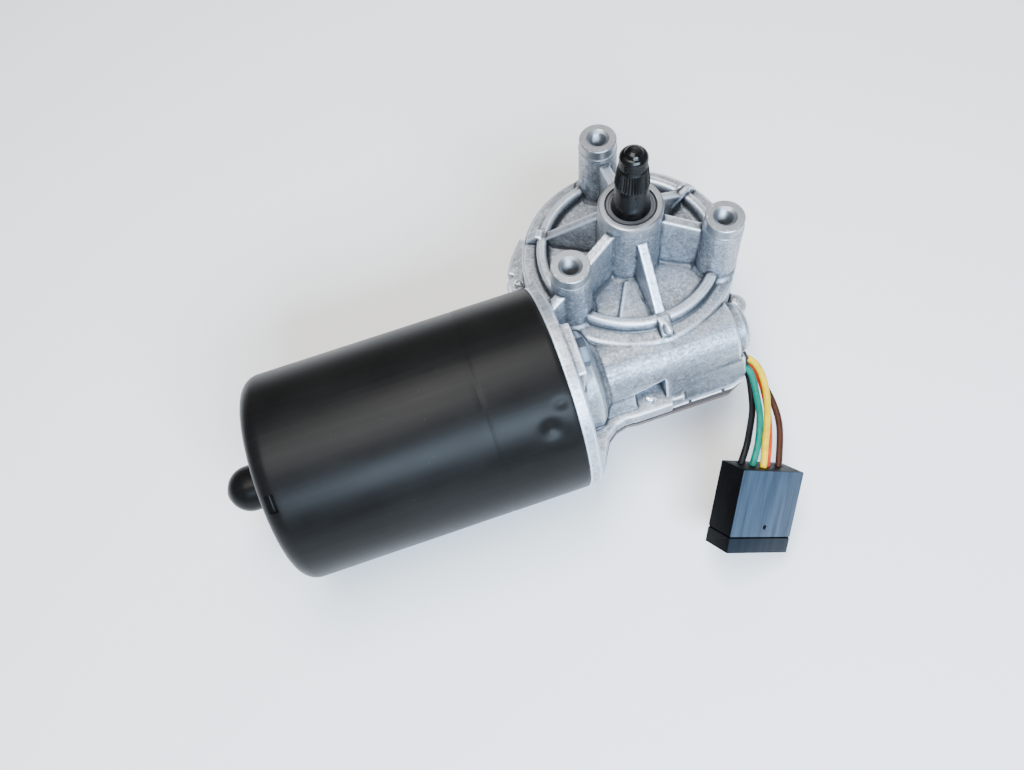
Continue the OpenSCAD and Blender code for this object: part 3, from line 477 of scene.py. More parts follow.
class WiperCaseSettings(bpy.types.PropertyGroup):
    alloy: colour_property("Alloy", "Colour of the die-cast alloy", (0.285, 0.312, 0.352))
    grit: bpy.props.FloatProperty(name="Grit", description="Size of the sandy grain in millimetres",
                                  default=1.1, min=0.2, max=2.0)
    voxel: length_property("Rounding", "Cell size that rounds the casting's edges", 0.45, 0.3, 2.0)


class WiperCanSettings(bpy.types.PropertyGroup):
    paint: colour_property("Paint", "Colour of the can's paint", (0.006, 0.0058, 0.0058))
    dent: length_property("Dent", "Depth of the larger dent", 1.2, 0.0, 2.0)


class WiperShaftSettings(bpy.types.PropertyGroup):
    steel: colour_property("Steel", "Colour of the blackened shaft", (0.0028, 0.0028, 0.003))
    teeth: bpy.props.IntProperty(name="Teeth", description="Teeth of the crank seat",
                                 default=36, min=12, max=60)


class WiperLeadSettings(bpy.types.PropertyGroup):
    diameter: length_property("Lead diameter", "Outer diameter of a lead", 2.7, 1.5, 3.0)
    black: colour_property("Black lead", "Sleeve colour of the black lead", (0.004, 0.004, 0.0045))
    green: colour_property("Green lead", "Sleeve colour of the green lead", (0.0, 0.16, 0.115))
    yellow: colour_property("Yellow lead", "Sleeve colour of the yellow lead", (0.75, 0.5, 0.0))
    red: colour_property("Red lead", "Sleeve colour of the red lead", (0.62, 0.04, 0.006))
    brown: colour_property("Brown lead", "Sleeve colour of the brown lead", (0.05, 0.017, 0.009))


class WiperStageSettings(bpy.types.PropertyGroup):
    floor: colour_property("Floor", "Colour of the floor", (0.95, 0.945, 0.94))
    window: power_property("Window light", "Power of the bluish light from the near side", 27.0)
    ceiling: power_property("Ceiling light", "Power of the neutral light overhead", 14.0)


# Stage


class WIPER_OT_stage(bpy.types.Operator):
    """Sets up the camera, the floor and the studio light"""

    bl_idname = "wiper.stage"
    bl_label = "Stage"

    def execute(self, context):
        settings = context.scene.wiper_stage
        data = bpy.data.cameras.new("photo camera")
        data.sensor_fit, data.sensor_width = "HORIZONTAL", SENSOR_MM
        data.lens = PHOTO_FOCAL_PX / PHOTO_WIDTH_PX * SENSOR_MM
        data.clip_start, data.clip_end = 0.01, 20.0
        camera = bpy.data.objects.new("photo camera", data)
        turn = Matrix((CAMERA_RIGHT, -CAMERA_DOWN, -CAMERA_AHEAD)).transposed()
        camera.matrix_world = Matrix.Translation(CAMERA_PLACE) @ turn.to_4x4()
        context.scene.collection.objects.link(camera)
        context.scene.camera = camera

        bm = bmesh.new()
        bmesh.ops.create_grid(bm, x_segments=1, y_segments=1, size=3.0)
        floor = temporary("floor", bm)
        floor.location.z = FLOOR_Z
        f = Finish("floor", Specular_IOR_Level=0.2)
        clouds = f.grain(2.0, 2.0)
        tone = f.ramp(clouds, [(0.3, shade(settings.floor, 0.985)), (0.7, settings.floor)])
        f.shader.inputs["Roughness"].default_value = 0.7
        floor.data.materials.append(f.done(tone))

        def panel(name, place, size, power, colour):
            light = bpy.data.lights.new(name, "AREA")
            light.shape, light.size, light.size_y = "RECTANGLE", *size
            light.energy, light.color = power, colour
            made = bpy.data.objects.new(name, light)
            made.location = place
            made.rotation_euler = (LIGHTS_AIM - Vector(place)).to_track_quat("-Z", "Y").to_euler()
            context.scene.collection.objects.link(made)

        panel("window light", (0.02, -0.78, 0.56), (0.7, 0.34), settings.window,
              (0.64, 0.81, 1.0))
        panel("ceiling light", (-0.14, 0.02, 0.85), (0.8, 0.42), settings.ceiling,
              (1.0, 0.98, 0.95))
        panel("far light", (0.5, 0.75, 0.5), (0.5, 0.5), 3.0, (1.0, 0.95, 0.9))
        world = bpy.data.worlds.new("studio")
        world.use_nodes = True
        background = world.node_tree.nodes["Background"]
        background.inputs["Color"].default_value = (0.93, 0.96, 1.0, 1.0)
        background.inputs["Strength"].default_value = 0.17
        context.scene.world = world
        return {"FINISHED"}


# Leads and connector

LEAD_ROUTES = {
    "black": [(31, -55, -55.5), (30.5, -59.5, -57.5), (28.5, -66, -58.5), (25.5, -73, -57.5),
              (21, -79, -54.5), (16.5, -86, -53), (11.5, -91.5, -55)],
    "green": [(31, -55.5, -52.5), (31, -61, -54.5), (29, -68, -54.5), (27, -75, -53.5),
              (24, -81, -53.5), (20.5, -87.5, -54), (15.5, -93.5, -55.5)],
    "yellow": [(31, -51.5, -50.5), (34.5, -56.5, -51), (34, -65, -53), (31, -73.5, -54),
               (27, -81, -53), (22.5, -88.5, -52.5), (19.5, -95, -55.5)],
    "red": [(31, -51, -54), (34.5, -56, -55.5), (34, -64.5, -57), (32, -72.5, -57.5),
            (29, -80, -57), (25.5, -87.5, -57), (21.5, -94.5, -58.5)],
    "brown": [(31, -51, -57.5), (34.5, -55.5, -59.5), (36.5, -62, -61), (36.5, -71, -61.5),
              (35, -79.5, -61.5), (31, -87.5, -61.5), (27, -95, -62)],
}
# The connector's own frame: its face that the leads enter at y 0, its length towards -y.
CONNECTOR_PLACE = moved(19.5, -95, -57) @ turned(-32.6, "Z") @ turned(34.1, "X") @ turned(37.4, "Y")
CONNECTOR_SIZE = (30.0, 33.0, 13.4)
STRIP_LENGTH = 6.3


def smooth_route(points, count=33):
    """Points on a smooth curve that has the route's two ends and follows it in between."""
    held = [points[0]] * 3 + points[1:-1] + [points[-1]] * 3
    spans = len(held) - 3
    route = []
    for k in range(count):
        place = min(k / (count - 1) * spans, spans - 1e-6)
        first, t = int(place), place % 1.0
        weights = ((1 - t) ** 3 / 6, (3 * t ** 3 - 6 * t ** 2 + 4) / 6,
                   (-3 * t ** 3 + 3 * t ** 2 + 3 * t + 1) / 6, t ** 3 / 6)
        point = Vector((0, 0, 0))
        for near, weight in zip(held[first:], weights):
            point += near * weight
        route.append(point)
    return route


def lead_route(name):
    """A lead's route in metres, from inside the grommet to inside the connector."""
    points = scaled_points(LEAD_ROUTES[name])
    start = points[0] + Vector((-3.5, 0.6, 0)) * MM
    end = points[-1] + CONNECTOR_PLACE.to_3x3() @ Vector((0, -2.2, 0)) * MM
    return smooth_route([start] + points + [end])


class WIPER_OT_connector(bpy.types.Operator):
    """Builds the connector that the leads end in"""

    bl_idname = "wiper.connector"
    bl_label = "Connector"

    def execute(self, context):
        wide, long, deep = CONNECTOR_SIZE
        groove = STRIP_LENGTH - long
        shell = bevelled(box_bm(CONNECTOR_SIZE, moved(0, -long / 2, 0)), 0.35)
        cutters = [box_bm((2.6, 10, 2.6), moved(x, 4 - long, z))
                   for x in (-10, -5, 0, 5, 10) for z in (-3, 3)]
        cutters.append(box_bm((wide + 2, 0.7, 1.4), moved(0, groove, deep / 2)))
        cutters.append(box_bm((1.4, 0.7, deep + 2), moved(-wide / 2, groove, 0)))
        for points in LEAD_ROUTES.values():
            entry = CONNECTOR_PLACE.inverted() @ (Vector(points[-1]) * MM)
            place = Matrix.Translation((entry.x, 0, entry.z)) @ turned(90, "X")
            well = bmesh.new()
            bmesh.ops.create_cone(well, cap_ends=True, segments=32, radius1=1.75 * MM,
                                  radius2=1.75 * MM, depth=6 * MM, matrix=place)
            cutters.append(well)
        dimple = bmesh.new()
        bmesh.ops.create_uvsphere(dimple, u_segments=24, v_segments=16, radius=1.6 * MM,
                                  matrix=moved(1.2, -22.5, deep / 2 + 1.0))
        cutters.append(dimple)
        shell = carved(shell, cutters)
        shell.transform(CONNECTOR_PLACE)
        lie = CONNECTOR_PLACE.to_euler()
        streaks = (420.0, 28.0, 420.0)
        plastic = moulded_finish("connector plastic", (0.002, 0.002, 0.0022),
                                 (0.005, 0.005, 0.0055), 0.45, 0.04, lie)
        # Copies of the black plastic for the outward face: scuff streaks plus a painted bluish
        # sheen that stands in for the window light's reflection; the strip past the groove gets a
        # dimmer painted sheen.
        scuffed_sheen_face = moulded_finish("scuffed face", (0.016, 0.028, 0.047), (0.045, 0.07, 0.105),
                                 0.34, 0.25, lie, streaks)
        sheen_strip = moulded_finish("scuffed end", (0.004, 0.007, 0.011), (0.009, 0.014, 0.02),
                              0.36, 0.14, lie, streaks)
        piece = finished_piece("connector_shell", shell, plastic, "motor",
                               ["connector_housing"], 28.0)
        piece.data.materials.append(scuffed_sheen_face)
        piece.data.materials.append(sheen_strip)
        # Painted sheen: only faces turned outward get the lighter bluish copies, while the sides
        # stay black.
        outward = CONNECTOR_PLACE.to_3x3() @ Vector((0, 0, 1))
        for face in piece.data.polygons:
            if face.normal.dot(outward) > 0.6:
                centre = CONNECTOR_PLACE.inverted() @ face.center
                if centre.z > (deep / 2 - 0.3) * MM:
                    on_strip = centre.y <= (groove + 0.2) * MM
                    face.material_index = 2 if on_strip else 1
        paint_node("connector_lock", plastic)
        return {"FINISHED"}


class WIPER_OT_leads(bpy.types.Operator):
    """Builds the five leads between the gear case and the connector"""

    bl_idname = "wiper.leads"
    bl_label = "Leads"

    def execute(self, context):
        settings = context.scene.wiper_leads
        for name in LEAD_ROUTES:
            route = lead_route(name)
            curve = bpy.data.curves.new("lead_" + name + "_sleeve", "CURVE")
            curve.dimensions, curve.use_fill_caps = "3D", True
            curve.bevel_depth, curve.bevel_resolution = settings.diameter / 2, 6
            spline = curve.splines.new("POLY")
            spline.points.add(len(route) - 1)
            for place, point in zip(spline.points, route):
                place.co = (*point, 1.0)
            spline.use_smooth = True
            sleeve = bpy.data.objects.new(name + "_sleeve", curve)
            context.scene.collection.objects.link(sleeve)
            curve.materials.append(lead_finish(name + " sleeve", getattr(settings, name)))
            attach(sleeve, "motor")
            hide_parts("lead_" + name)
        return {"FINISHED"}


# Gear case


def edge_wear(mesh, span=600.0):
    """Stores how convex (up to 1) or hollow (down to -1) the surface is at each point, for rubbed
    edges and for painted shade in the hollows.
    """
    count = len(mesh.vertices)
    co = np.empty(count * 3, np.float32)
    mesh.vertices.foreach_get("co", co)
    normals = np.empty(count * 3, np.float32)
    mesh.vertex_normals.foreach_get("vector", normals)
    ends = np.empty(len(mesh.edges) * 2, np.int32)
    mesh.edges.foreach_get("vertices", ends)
    co, normals, ends = co.reshape(-1, 3), normals.reshape(-1, 3), ends.reshape(-1, 2)
    step = co[ends[:, 1]] - co[ends[:, 0]]
    turn = ((normals[ends[:, 1]] - normals[ends[:, 0]]) * step).sum(1)
    bend = turn / np.maximum((step ** 2).sum(1), 1e-12)

    def averaged(per_edge):
        total = sum(np.bincount(ends[:, side], per_edge, count) for side in (0, 1))
        number = sum(np.bincount(ends[:, side], minlength=count) for side in (0, 1))
        return total / np.maximum(number, 1)

    value = averaged(bend)
    for _ in range(2):
        value = 0.5 * value + 0.5 * averaged((value[ends[:, 0]] + value[ends[:, 1]]) / 2)
    attribute = mesh.attributes.new("edge_wear", "FLOAT", "POINT")
    attribute.data.foreach_set("value", np.clip(value / span, -1, 1).astype(np.float32))


def lofted(first, last):
    """A closed solid between two outlines of as many (x, y, z) points in millimetres."""
    bm = bmesh.new()
    loops = []
    for outline in (first, last):
        verts = [bm.verts.new(point) for point in scaled_points(outline)]
        loops += bm.faces.new(verts).edges
    bmesh.ops.bridge_loops(bm, edges=loops)
    bmesh.ops.recalc_face_normals(bm, faces=bm.faces)
    return bm


def across_x(first, last, outline, last_outline=None):
    """A solid along X between two outlines of (y, z)."""
    return lofted([(first, y, z) for y, z in outline],
                  [(last, y, z) for y, z in last_outline or outline])


def upright(low, high, outline):
    """A solid along Z between two heights, with an outline of (x, y)."""
    return lofted([(x, y, low) for x, y in outline], [(x, y, high) for x, y in outline])


def crossing_rib(azimuth, start, end, height):
    """A round-ended rib that lies across the rim's bead."""
    radius = 1.6
    side = 0.7 * radius
    outline = [(0.0, start - radius), (side, start - side), (radius, start), (radius, end),
               (side, end + side), (0.0, end + radius)]
    rib = spun(outline, "X", 20)
    rib.transform(moved(0, 0, height) @ turned(azimuth, "Z"))
    return rib


def added_castings():
    """What the casting has beyond the solid.

    In order: a step on the pocket floor, the near end of the lead box, the leaning face left of
    the screw, and two ribs across the rim's bead.
    """
    box_end = [(-50, COVER_JOINT), (-59.2, COVER_JOINT), (-59.2, -56.4)]
    leaning = [(-48, COVER_JOINT), (-60.7, COVER_JOINT), (-60.7, -56.9), (-54.45, -46.0),
               (-48, -46.0)]
    return [upright(-32.5, -30.2, [(-6.5, -13), (-15.5, -29.5), (-3.6, -33), (-2.6, -13)]),
            across_x(-5.0, 1.2, box_end + [(-53.9, -41.6), (-50, -41.6)],
                     box_end + [(-54.25, -45.1), (-50, -45.1)]),
            across_x(-30.5, -17.6, leaning),
            crossing_rib(28.0, 26.0, 36.6, -26.0), crossing_rib(270.6, 37.5, 41.4, -27.1)]


def at_boss(bm, azimuth):
    """Moves a piece made on the output axis to the boss at that azimuth."""
    x, y = on_circle(BOSS_CIRCLE_R, azimuth)
    bmesh.ops.translate(bm, verts=bm.verts, vec=Vector((x, y, 0)) * MM)
    return bm


def casting_cuts():
    """What comes off the solid.

    In order: the undercut behind the screw, a strip at the foot of the lead box, and room for the
    threaded lands in the bosses.
    """
    outside = [(-75, -51.5), (-75, -40.0)]
    undercut = across_x(-17.7, -4.9, [(-54.7, -45.4), (-50.6, -46.6), (-49.8, -51.5), *outside],
                        [(-53.9, -41.9), (-50.4, -43.4), (-49.6, -51.5), *outside])
    foot = upright(-58.3, -50.0, [(-3.6, -59.3), (22.5, -59.3), (28.7, -57.4), (33, -57.4),
                                  (33, -66), (-3.6, -66)])
    bore = [(0.0, -17.0), (4.3, -17.0), (4.3, -1.8), (5.8, -1.8), (5.8, 1.0), (0.0, 1.0)]
    return [undercut, foot, *(at_boss(spun(bore, "Z", 48), azimuth) for azimuth in BOSS_AZIMUTHS)]


def boss_land():
    """A boss's machined top with its countersink and thread, on the output axis."""
    thread = [(3.8 if k % 2 else 3.3, -0.85 - 0.625 * k) for k in range(24)]
    outer = [(4.7, thread[-1][1]), (4.7, -5.4), (7.76, -5.4), (7.74, -4.75), (7.55, -4.5),
             (7.36, -4.42), (7.36, -0.3), (7.06, 0.0), (4.55, 0.0), (4.45, -0.06)]
    return spun(thread + outer, "Z", 96)


class WIPER_OT_gear_case(bpy.types.Operator):
    """Builds the die-cast gear case with rounded edges and blasted skin"""

    bl_idname = "wiper.gear_case"
    bl_label = "Gear case"

    def execute(self, context):
        settings = context.scene.wiper_case
        alloy = cast_alloy_finish(tuple(settings.alloy), settings.grit)
        casting = bmesh.new()
        casting.from_mesh(NODES["gear_case"].data)
        bmesh.ops.remove_doubles(casting, verts=casting.verts, dist=1e-6)
        casting = merged([carved(casting, casting_cuts()), *added_castings()])
        piece = finished_piece("cast_gear_case", casting, alloy, "motor",
                               ["gear_case"], 0)
        cells = piece.modifiers.new("cells", "REMESH")
        cells.mode, cells.voxel_size = "VOXEL", settings.voxel * 1
        soft = piece.modifiers.new("soft", "SMOOTH")
        soft.factor, soft.iterations = 0.5, 2
        baked_mesh(piece)
        tris = 2 * len(piece.data.polygons)
        if tris > MOST_TRIANGLES:
            thin = piece.modifiers.new("thin", "DECIMATE")
            thin.ratio = THINNED_TRIANGLES / tris
            baked_mesh(piece)
        piece.data.shade_smooth()
        edge_wear(piece.data)
        if not piece.data.materials:
            piece.data.materials.append(alloy)

        lands = merged([at_boss(boss_land(), azimuth) for azimuth in BOSS_AZIMUTHS])
        machined = turned_finish("machined land", (0.34, 0.36, 0.39), 0.88, 0.36, "Z")
        finished_piece("boss_lands", lands, machined, "motor", (), 24.0)
        collar = spun([(9.66, -2.0), (12.4, -2.0), (12.4, 0.1), (12.25, 0.45), (11.9, 0.68),
                       (11.5, 0.74), (10.2, 0.74), (10.0, 0.5), (9.66, 0.5)], "Z", 128)
        finished_piece("collar_land", collar, machined, "motor")
        lip = spun([(9.25, -0.6), (10.1, -0.6), (10.1, 0.55), (9.9, 0.7), (9.45, 0.7),
                    (9.25, 0.55)], "Z", 128)
        rubber = plain_finish("seal rubber", (0.012, 0.012, 0.013), 0.0, 0.55, 0.5, 0.04,
                              Specular_IOR_Level=0.2)
        finished_piece("seal_lip", lip, rubber, "motor")
        return {"FINISHED"}


# Motor can


class WIPER_OT_motor_can(bpy.types.Operator):
    """Builds the drawn steel can with its nose, dents and drain slots"""

    bl_idname = "wiper.motor_can"
    bl_label = "Motor can"

    def execute(self, context):
        settings = context.scene.wiper_can
        inner_r, shoulder_r = CAN_R - CAN_WALL, 7
        side = [(CAN_R - 0.5, CAN_FRONT), (CAN_R - 0.15, CAN_FRONT - 0.15),
                (CAN_R, CAN_FRONT - 0.5), (CAN_R, -76.3), (CAN_R - 0.12, -76.8),
                (CAN_R - 0.12, -77.4), (CAN_R - 0.05, -78.2)]
        rear = arc_profile((CAN_R - 7.05, CAN_REAR + shoulder_r), shoulder_r, 0, -90, 16)
        nose = [(13.2, CAN_REAR), (12.2, CAN_REAR - 0.25), (11.2, CAN_REAR - 1.0),
                (9.9, CAN_REAR - 1.3), (9.2, CAN_REAR - 1.8), (NOSE_R, CAN_REAR - 3.0),
                (NOSE_R, NOSE_END + NOSE_R)]
        dome = arc_profile((0, NOSE_END + NOSE_R), NOSE_R, 0, -90, 14)
        dome[-3:] = [(2.6, NOSE_END + 0.35), (2.2, NOSE_END + 0.1), (0.0, NOSE_END)]
        inside = [(0.0, NOSE_END + CAN_WALL), (4.5, NOSE_END + 3.9),
                  (NOSE_R - CAN_WALL, NOSE_END + NOSE_R), (NOSE_R - CAN_WALL, CAN_REAR + CAN_WALL),
                  (inner_r - 7, CAN_REAR + CAN_WALL), (inner_r - 2, CAN_REAR + 4.3),
                  (inner_r, CAN_REAR + 8), (inner_r, CAN_FRONT)]
        outer = fine_profile(side + rear + nose + dome, 1.6)
        can = closed_shell(outer + inside, 224)
        dents = [((-56.2, -69.2, -16.9), 4.6, settings.dent),
                 ((-50.5, -63.1, -11.8), 2.6, settings.dent * 0.6),
                 ((-52.5, -71.5, -20.5), 5.5, settings.dent * 0.35),
                 ((-101, -75.7, -25.3), 0.8, 0.15 * MM)]
        at_motor_axis(can)
        for vert in can.verts:
            out = Vector((0, vert.co.y - MOTOR_AXIS.y, vert.co.z - MOTOR_AXIS.z))
            if out.length > (CAN_R - 1) * MM:
                sink = 0.0
                for centre, size, depth in dents:
                    away = (vert.co - Vector(centre) * MM).length / (size * MM)
                    sink += depth * math.exp(-(away ** 2) * 2.2)
                ripple = noise.noise(vert.co * 38.0) * 0.09 * MM
                vert.co -= out.normalized() * (sink + max(ripple, 0.0))
        slots = []
        for azimuth in DRAIN_AZIMUTHS:
            place = (Matrix.Translation(MOTOR_AXIS) @ turned(azimuth, "X")
                     @ moved(CAN_REAR + 4.8, CAN_R - 1.2, 0) @ turned(35, "Z"))
            slots.append(bevelled(box_bm((3.6, 3.4, 7), place), 0.7))
        can = carved(can, slots)
        paint = can_paint_finish(tuple(settings.paint))
        finished_piece("drawn_can", can, paint, "motor", ["motor_can"], 40.0)
        return {"FINISHED"}


# Output shaft


class WIPER_OT_output_shaft(bpy.types.Operator):
    """Builds the blackened output shaft with its toothed crank seat and thread"""

    bl_idname = "wiper.output_shaft"
    bl_label = "Output shaft"

    def execute(self, context):
        settings = context.scene.wiper_shaft
        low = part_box("output_shaft")[0].z / MM
        foot = [(0.0, low), (5.0, low), (6.0, low + 1), (6.0, -39.9), (7.2, -39.8), (7.2, 0.4),
                (7.1, 0.9), (6.45, 8.6), (6.35, 13.0), (6.15, 13.4)]
        seat = [(6.5, 13.8), (5.5, 21.9), (5.0, 22.6), (4.85, 22.9), (4.85, 23.4), (5.2, 23.8),
                (5.25, 26.9), (5.1, 27.4), (4.7, 28.0), (4.1, 28.6), (3.5, 28.9), (3.2, 29.3),
                (2.6, 29.9), (1.5, 30.35), (0.0, 30.5)]
        profile = fine_profile(foot + seat[:1], 4.0)[:-1] + fine_profile(seat, 0.2)
        shaft = spun(profile, "Z", 4 * settings.teeth)
        for vert in shaft.verts:
            height, radius = vert.co.z / MM, math.hypot(vert.co.x, vert.co.y)
            angle = math.atan2(vert.co.y, vert.co.x)
            if TEETH_FROM < height < TEETH_TO:
                change = 0.22 * (math.cos(settings.teeth * angle) - 0.6)
            elif THREAD_FROM < height < THREAD_TO:
                phase = (height / THREAD_PITCH - angle / (2 * math.pi)) % 1.0
                fade = min(1.0, height - THREAD_FROM, THREAD_TO - height)
                change = -0.28 * abs(2 * phase - 1) * fade
            else:
                continue
            vert.co.xy *= 1 + change * MM / radius
        steel = oiled_steel_finish(tuple(settings.steel))
        finished_piece("toothed_shaft", shaft, steel, "output",
                       ["output_shaft"], 50.0)
        return {"FINISHED"}


# Fasteners and seam


def roughened(bm, above, amount, scale, seed):
    """Moves the points above a height by noise, for sheared or smeared metal."""
    shift = Vector((seed * 3.7, seed * 1.3, -seed * 2.1))
    for vert in bm.verts:
        if vert.co.z > above * MM:
            vert.co += noise.noise_vector(vert.co * scale + shift) * amount * MM
    return bm


class WIPER_OT_fasteners(bpy.types.Operator):
    """Builds the can bolts and the cover screws"""

    bl_idname = "wiper.fasteners"
    bl_label = "Fasteners"

    def execute(self, context):
        bolts = []
        for azimuth in BOLT_AZIMUTHS:
            head = bmesh.new()
            bmesh.ops.create_cone(head, cap_ends=True, segments=6, radius1=5.77 * MM,
                                  radius2=5.77 * MM, depth=3.3 * MM, matrix=moved(0, 0, 2.35))
            bevelled(head, 0.35, 2)
            washer = spun([(0.0, 0.0), (5.4, 0.0), (5.6, 0.2), (5.6, 0.6), (5.3, 0.8), (0.0, 0.8)],
                          "Z", 48)
            shank = spun([(0.0, -20.0), (2.5, -20.0), (2.5, 0.01), (0.0, 0.01)], "Z", 32)
            bolt = merged([head, washer, shank])
            bolt.transform(Matrix.Translation(MOTOR_AXIS) @ turned(azimuth, "X")
                           @ moved(BOLT_SEAT, BOLT_CIRCLE_R, 0) @ turned(90, "Y"))
            bolts.append(bolt)
        zinc = plain_finish("dark zinc", (0.1, 0.12, 0.15), 0.8, 0.45, 0.5, 0.03)
        finished_piece("hex_bolts", merged(bolts), zinc, "motor", ["can_bolts"], 30.0)

        screws = []
        places = [on_circle(EAR_CIRCLE_R, azimuth) for azimuth in EAR_AZIMUTHS]
        for seed, (x, y) in enumerate(places + [SHELF_SCREW]):
            body = [(0.0, -61.2), (1.6, -61.2)]
            body += [(1.6 if j % 2 else 1.38, -61.0 + 0.4 * j) for j in range(1, 27)]
            body += [(1.65, -50.2), (1.7, -49.6), (1.5, -49.1), (0.8, -48.9), (0.0, -48.85)]
            screw = roughened(spun(fine_profile(body, 0.35), "Z", 28), -50.4, 0.8, 620.0, seed)
            head = spun([(0.0, -63.0), (2.9, -63.0), (3.3, -62.6), (3.4, -61.9), (3.4, -60.5),
                         (0.0, -60.5)], "Z", 48)
            cross = [box_bm((4.8, 1.0, 1.8), moved(0, 0, -63) @ Matrix.Rotation(turn, 4, "Z"))
                     for turn in (0.4, 0.4 + math.pi / 2)]
            screw = merged([screw, carved(head, cross)])
            bmesh.ops.translate(screw, verts=screw.verts, vec=Vector((x, y, 0)) * MM)
            screws.append(screw)
        bright = plain_finish("bright zinc", (0.72, 0.74, 0.77), 0.85, 0.3, 0.4, 0.05)
        finished_piece("tapping_screws", merged(screws), bright, "motor",
                       ["cover_screws"], 40.0)
        return {"FINISHED"}


class WIPER_OT_seam(bpy.types.Operator):
    """Lays the squeezed-out sealant and casting flash along the cover's seam"""

    bl_idname = "wiper.seam"
    bl_label = "Seam"

    def execute(self, context):
        path = scaled_points([(-4.6, -59.6, -57.7), (8, -59.6, -57.7), (22.3, -59.6, -57.7),
                              (28.2, -57.7, -57.7)])
        bm = bmesh.new()
        reach = 0.0
        for a, b in zip(path, path[1:]):
            count = max(1, round((b - a).length / (0.55 * MM)))
            for k in range(count):
                here = a.lerp(b, (k + 0.5) / count)
                reach += 1.0
                swell = 0.5 + 0.5 * noise.noise(Vector((reach * 0.31, 1.7, 0.2)))
                swell *= 0.55 + 0.45 * noise.noise(Vector((reach * 1.3, 9.1, 4.2)))
                if swell < 0.17:
                    continue
                blob = bmesh.ops.create_icosphere(bm, subdivisions=2, radius=1.0)["verts"]
                size = Vector((0.5, 0.3 + 0.45 * swell, 0.16 + 0.6 * swell)) * MM
                bmesh.ops.scale(bm, vec=size, verts=blob)
                for vert in blob:
                    vert.co += noise.noise_vector(vert.co * 900 + Vector((reach, 0, 0))) * 0.12 * MM
                lift = Vector((0, -0.05, 0.35 * swell)) * MM
                bmesh.ops.translate(bm, verts=blob, vec=here + lift)
        flash = plain_finish("seam sealant", (0.95, 0.96, 0.97), 0.3, 0.35, 0.5, 0.08)
        finished_piece("seam_sealant", bm, flash, "motor", (), 60.0)
        return {"FINISHED"}


# Carried-over nodes


def paint_node(name, material):
    slots = NODES[name].data.materials
    if slots:
        slots[0] = material
    else:
        slots.append(material)


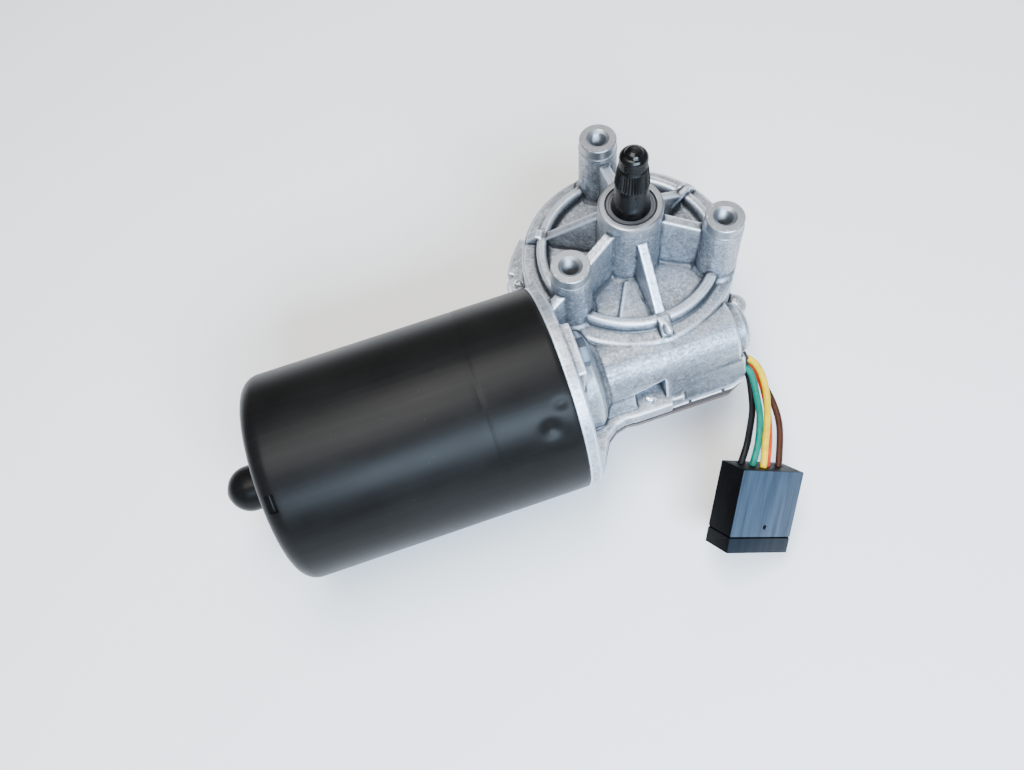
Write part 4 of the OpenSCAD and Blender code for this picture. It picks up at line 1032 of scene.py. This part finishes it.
class WIPER_OT_inner_parts(bpy.types.Operator):
    """Gives every CAD node that still shows its finish"""

    bl_idname = "wiper.inner_parts"
    bl_label = "Inner parts"

    def execute(self, context):
        bronze = turned_finish("sintered bronze", (0.5, 0.36, 0.2), 0.9, 0.42)
        ground = turned_finish("ground steel", (0.56, 0.57, 0.6), 1.0, 0.24)
        pressed = plain_finish("pressed steel", (0.2, 0.17, 0.17), 0.85, 0.48, 0.7, 0.04)
        copper = plain_finish("wound copper", (0.6, 0.24, 0.1), 1.0, 0.34, 0.9, 0.15)
        drawn_copper = turned_finish("turned copper", (0.68, 0.32, 0.18), 1.0, 0.28)
        nylon = moulded_finish("nylon", (0.72, 0.7, 0.6), (0.86, 0.84, 0.76), 0.42)
        board = plain_finish("resin board", (0.2, 0.1, 0.05), 0.0, 0.5, 0.8, 0.05)
        laminated = turned_finish("core laminations", (0.14, 0.14, 0.15), 0.7, 0.42)
        rubber = plain_finish("black rubber", (0.02, 0.02, 0.021), 0.0, 0.6, 0.6, 0.05)
        magnet = plain_finish("ferrite", (0.045, 0.045, 0.05), 0.2, 0.55, 0.7, 0.08)
        carbon = plain_finish("carbon", (0.02, 0.02, 0.02), 0.1, 0.6, 0.5, 0.08)
        seal = plain_finish("seal face", (0.09, 0.092, 0.1), 0.5, 0.42, 0.5, 0.04)
        gasket = plain_finish("gasket", (0.04, 0.035, 0.04), 0.0, 0.65, 0.8, 0.06)
        lugs = can_paint_finish((0.02, 0.02, 0.021))
        terminals = moulded_finish("terminal plastic", (0.02, 0.02, 0.022),
                                   (0.05, 0.05, 0.055), 0.42)
        finishes = [
            (bronze, "output_bushes rear_bush worm_bush thrust_washer"),
            (ground, "rear_ball bearing_outer_race bearing_balls bearing_inner_race armature_shaft "
                     "worm wheel_hub thrust_adjuster brush_springs"),
            (pressed, "cover_plate magnet_clips"),
            (nylon, "thrust_button worm_wheel"),
            (board, "brush_plate contact_plate"),
            (copper, "armature_windings"),
            (drawn_copper, "commutator park_disc contact_springs"),
            (laminated, "armature_core"),
            (magnet, "field_magnets"),
            (carbon, "brushes"),
            (seal, "shaft_seal"),
            (gasket, "cover_gasket"),
            (lugs, "can_lugs"),
            (terminals, "terminal_block"),
            (rubber, "lead_grommet"),
        ]
        for material, names in finishes:
            for name in names.split():
                paint_node(name, material)
        return {"FINISHED"}


# Panel and registration


class WIPER_PT_panel(bpy.types.Panel):
    """Lists the pieces of the wiper motor and their settings"""

    bl_idname = "WIPER_PT_panel"
    bl_label = "Wiper Motor"
    bl_space_type = "VIEW_3D"
    bl_region_type = "UI"
    bl_category = "Wiper Motor"

    def draw(self, context):
        layout = self.layout
        for operator in OPERATORS:
            layout.operator(operator.bl_idname)
        for key in SETTINGS:
            group = getattr(context.scene, key)
            box = layout.box()
            for field in group.bl_rna.properties.keys():
                if field not in ("rna_type", "name"):
                    box.prop(group, field)


OPERATORS = [WIPER_OT_stage, WIPER_OT_connector, WIPER_OT_leads, WIPER_OT_gear_case,
             WIPER_OT_motor_can, WIPER_OT_output_shaft, WIPER_OT_fasteners, WIPER_OT_seam,
             WIPER_OT_inner_parts]
SETTINGS = {"wiper_stage": WiperStageSettings, "wiper_case": WiperCaseSettings,
            "wiper_can": WiperCanSettings, "wiper_shaft": WiperShaftSettings,
            "wiper_leads": WiperLeadSettings}


def register():
    for cls in [*SETTINGS.values(), *OPERATORS, WIPER_PT_panel]:
        bpy.utils.register_class(cls)
    for key, cls in SETTINGS.items():
        setattr(bpy.types.Scene, key, bpy.props.PointerProperty(type=cls))


def unregister():
    for key in SETTINGS:
        delattr(bpy.types.Scene, key)
    for cls in reversed([*SETTINGS.values(), *OPERATORS, WIPER_PT_panel]):
        bpy.utils.unregister_class(cls)


def main():
    register()
    for operator in OPERATORS:
        group, name = operator.bl_idname.split(".")
        getattr(getattr(bpy.ops, group), name)()


if __name__ == "__main__":
    main()
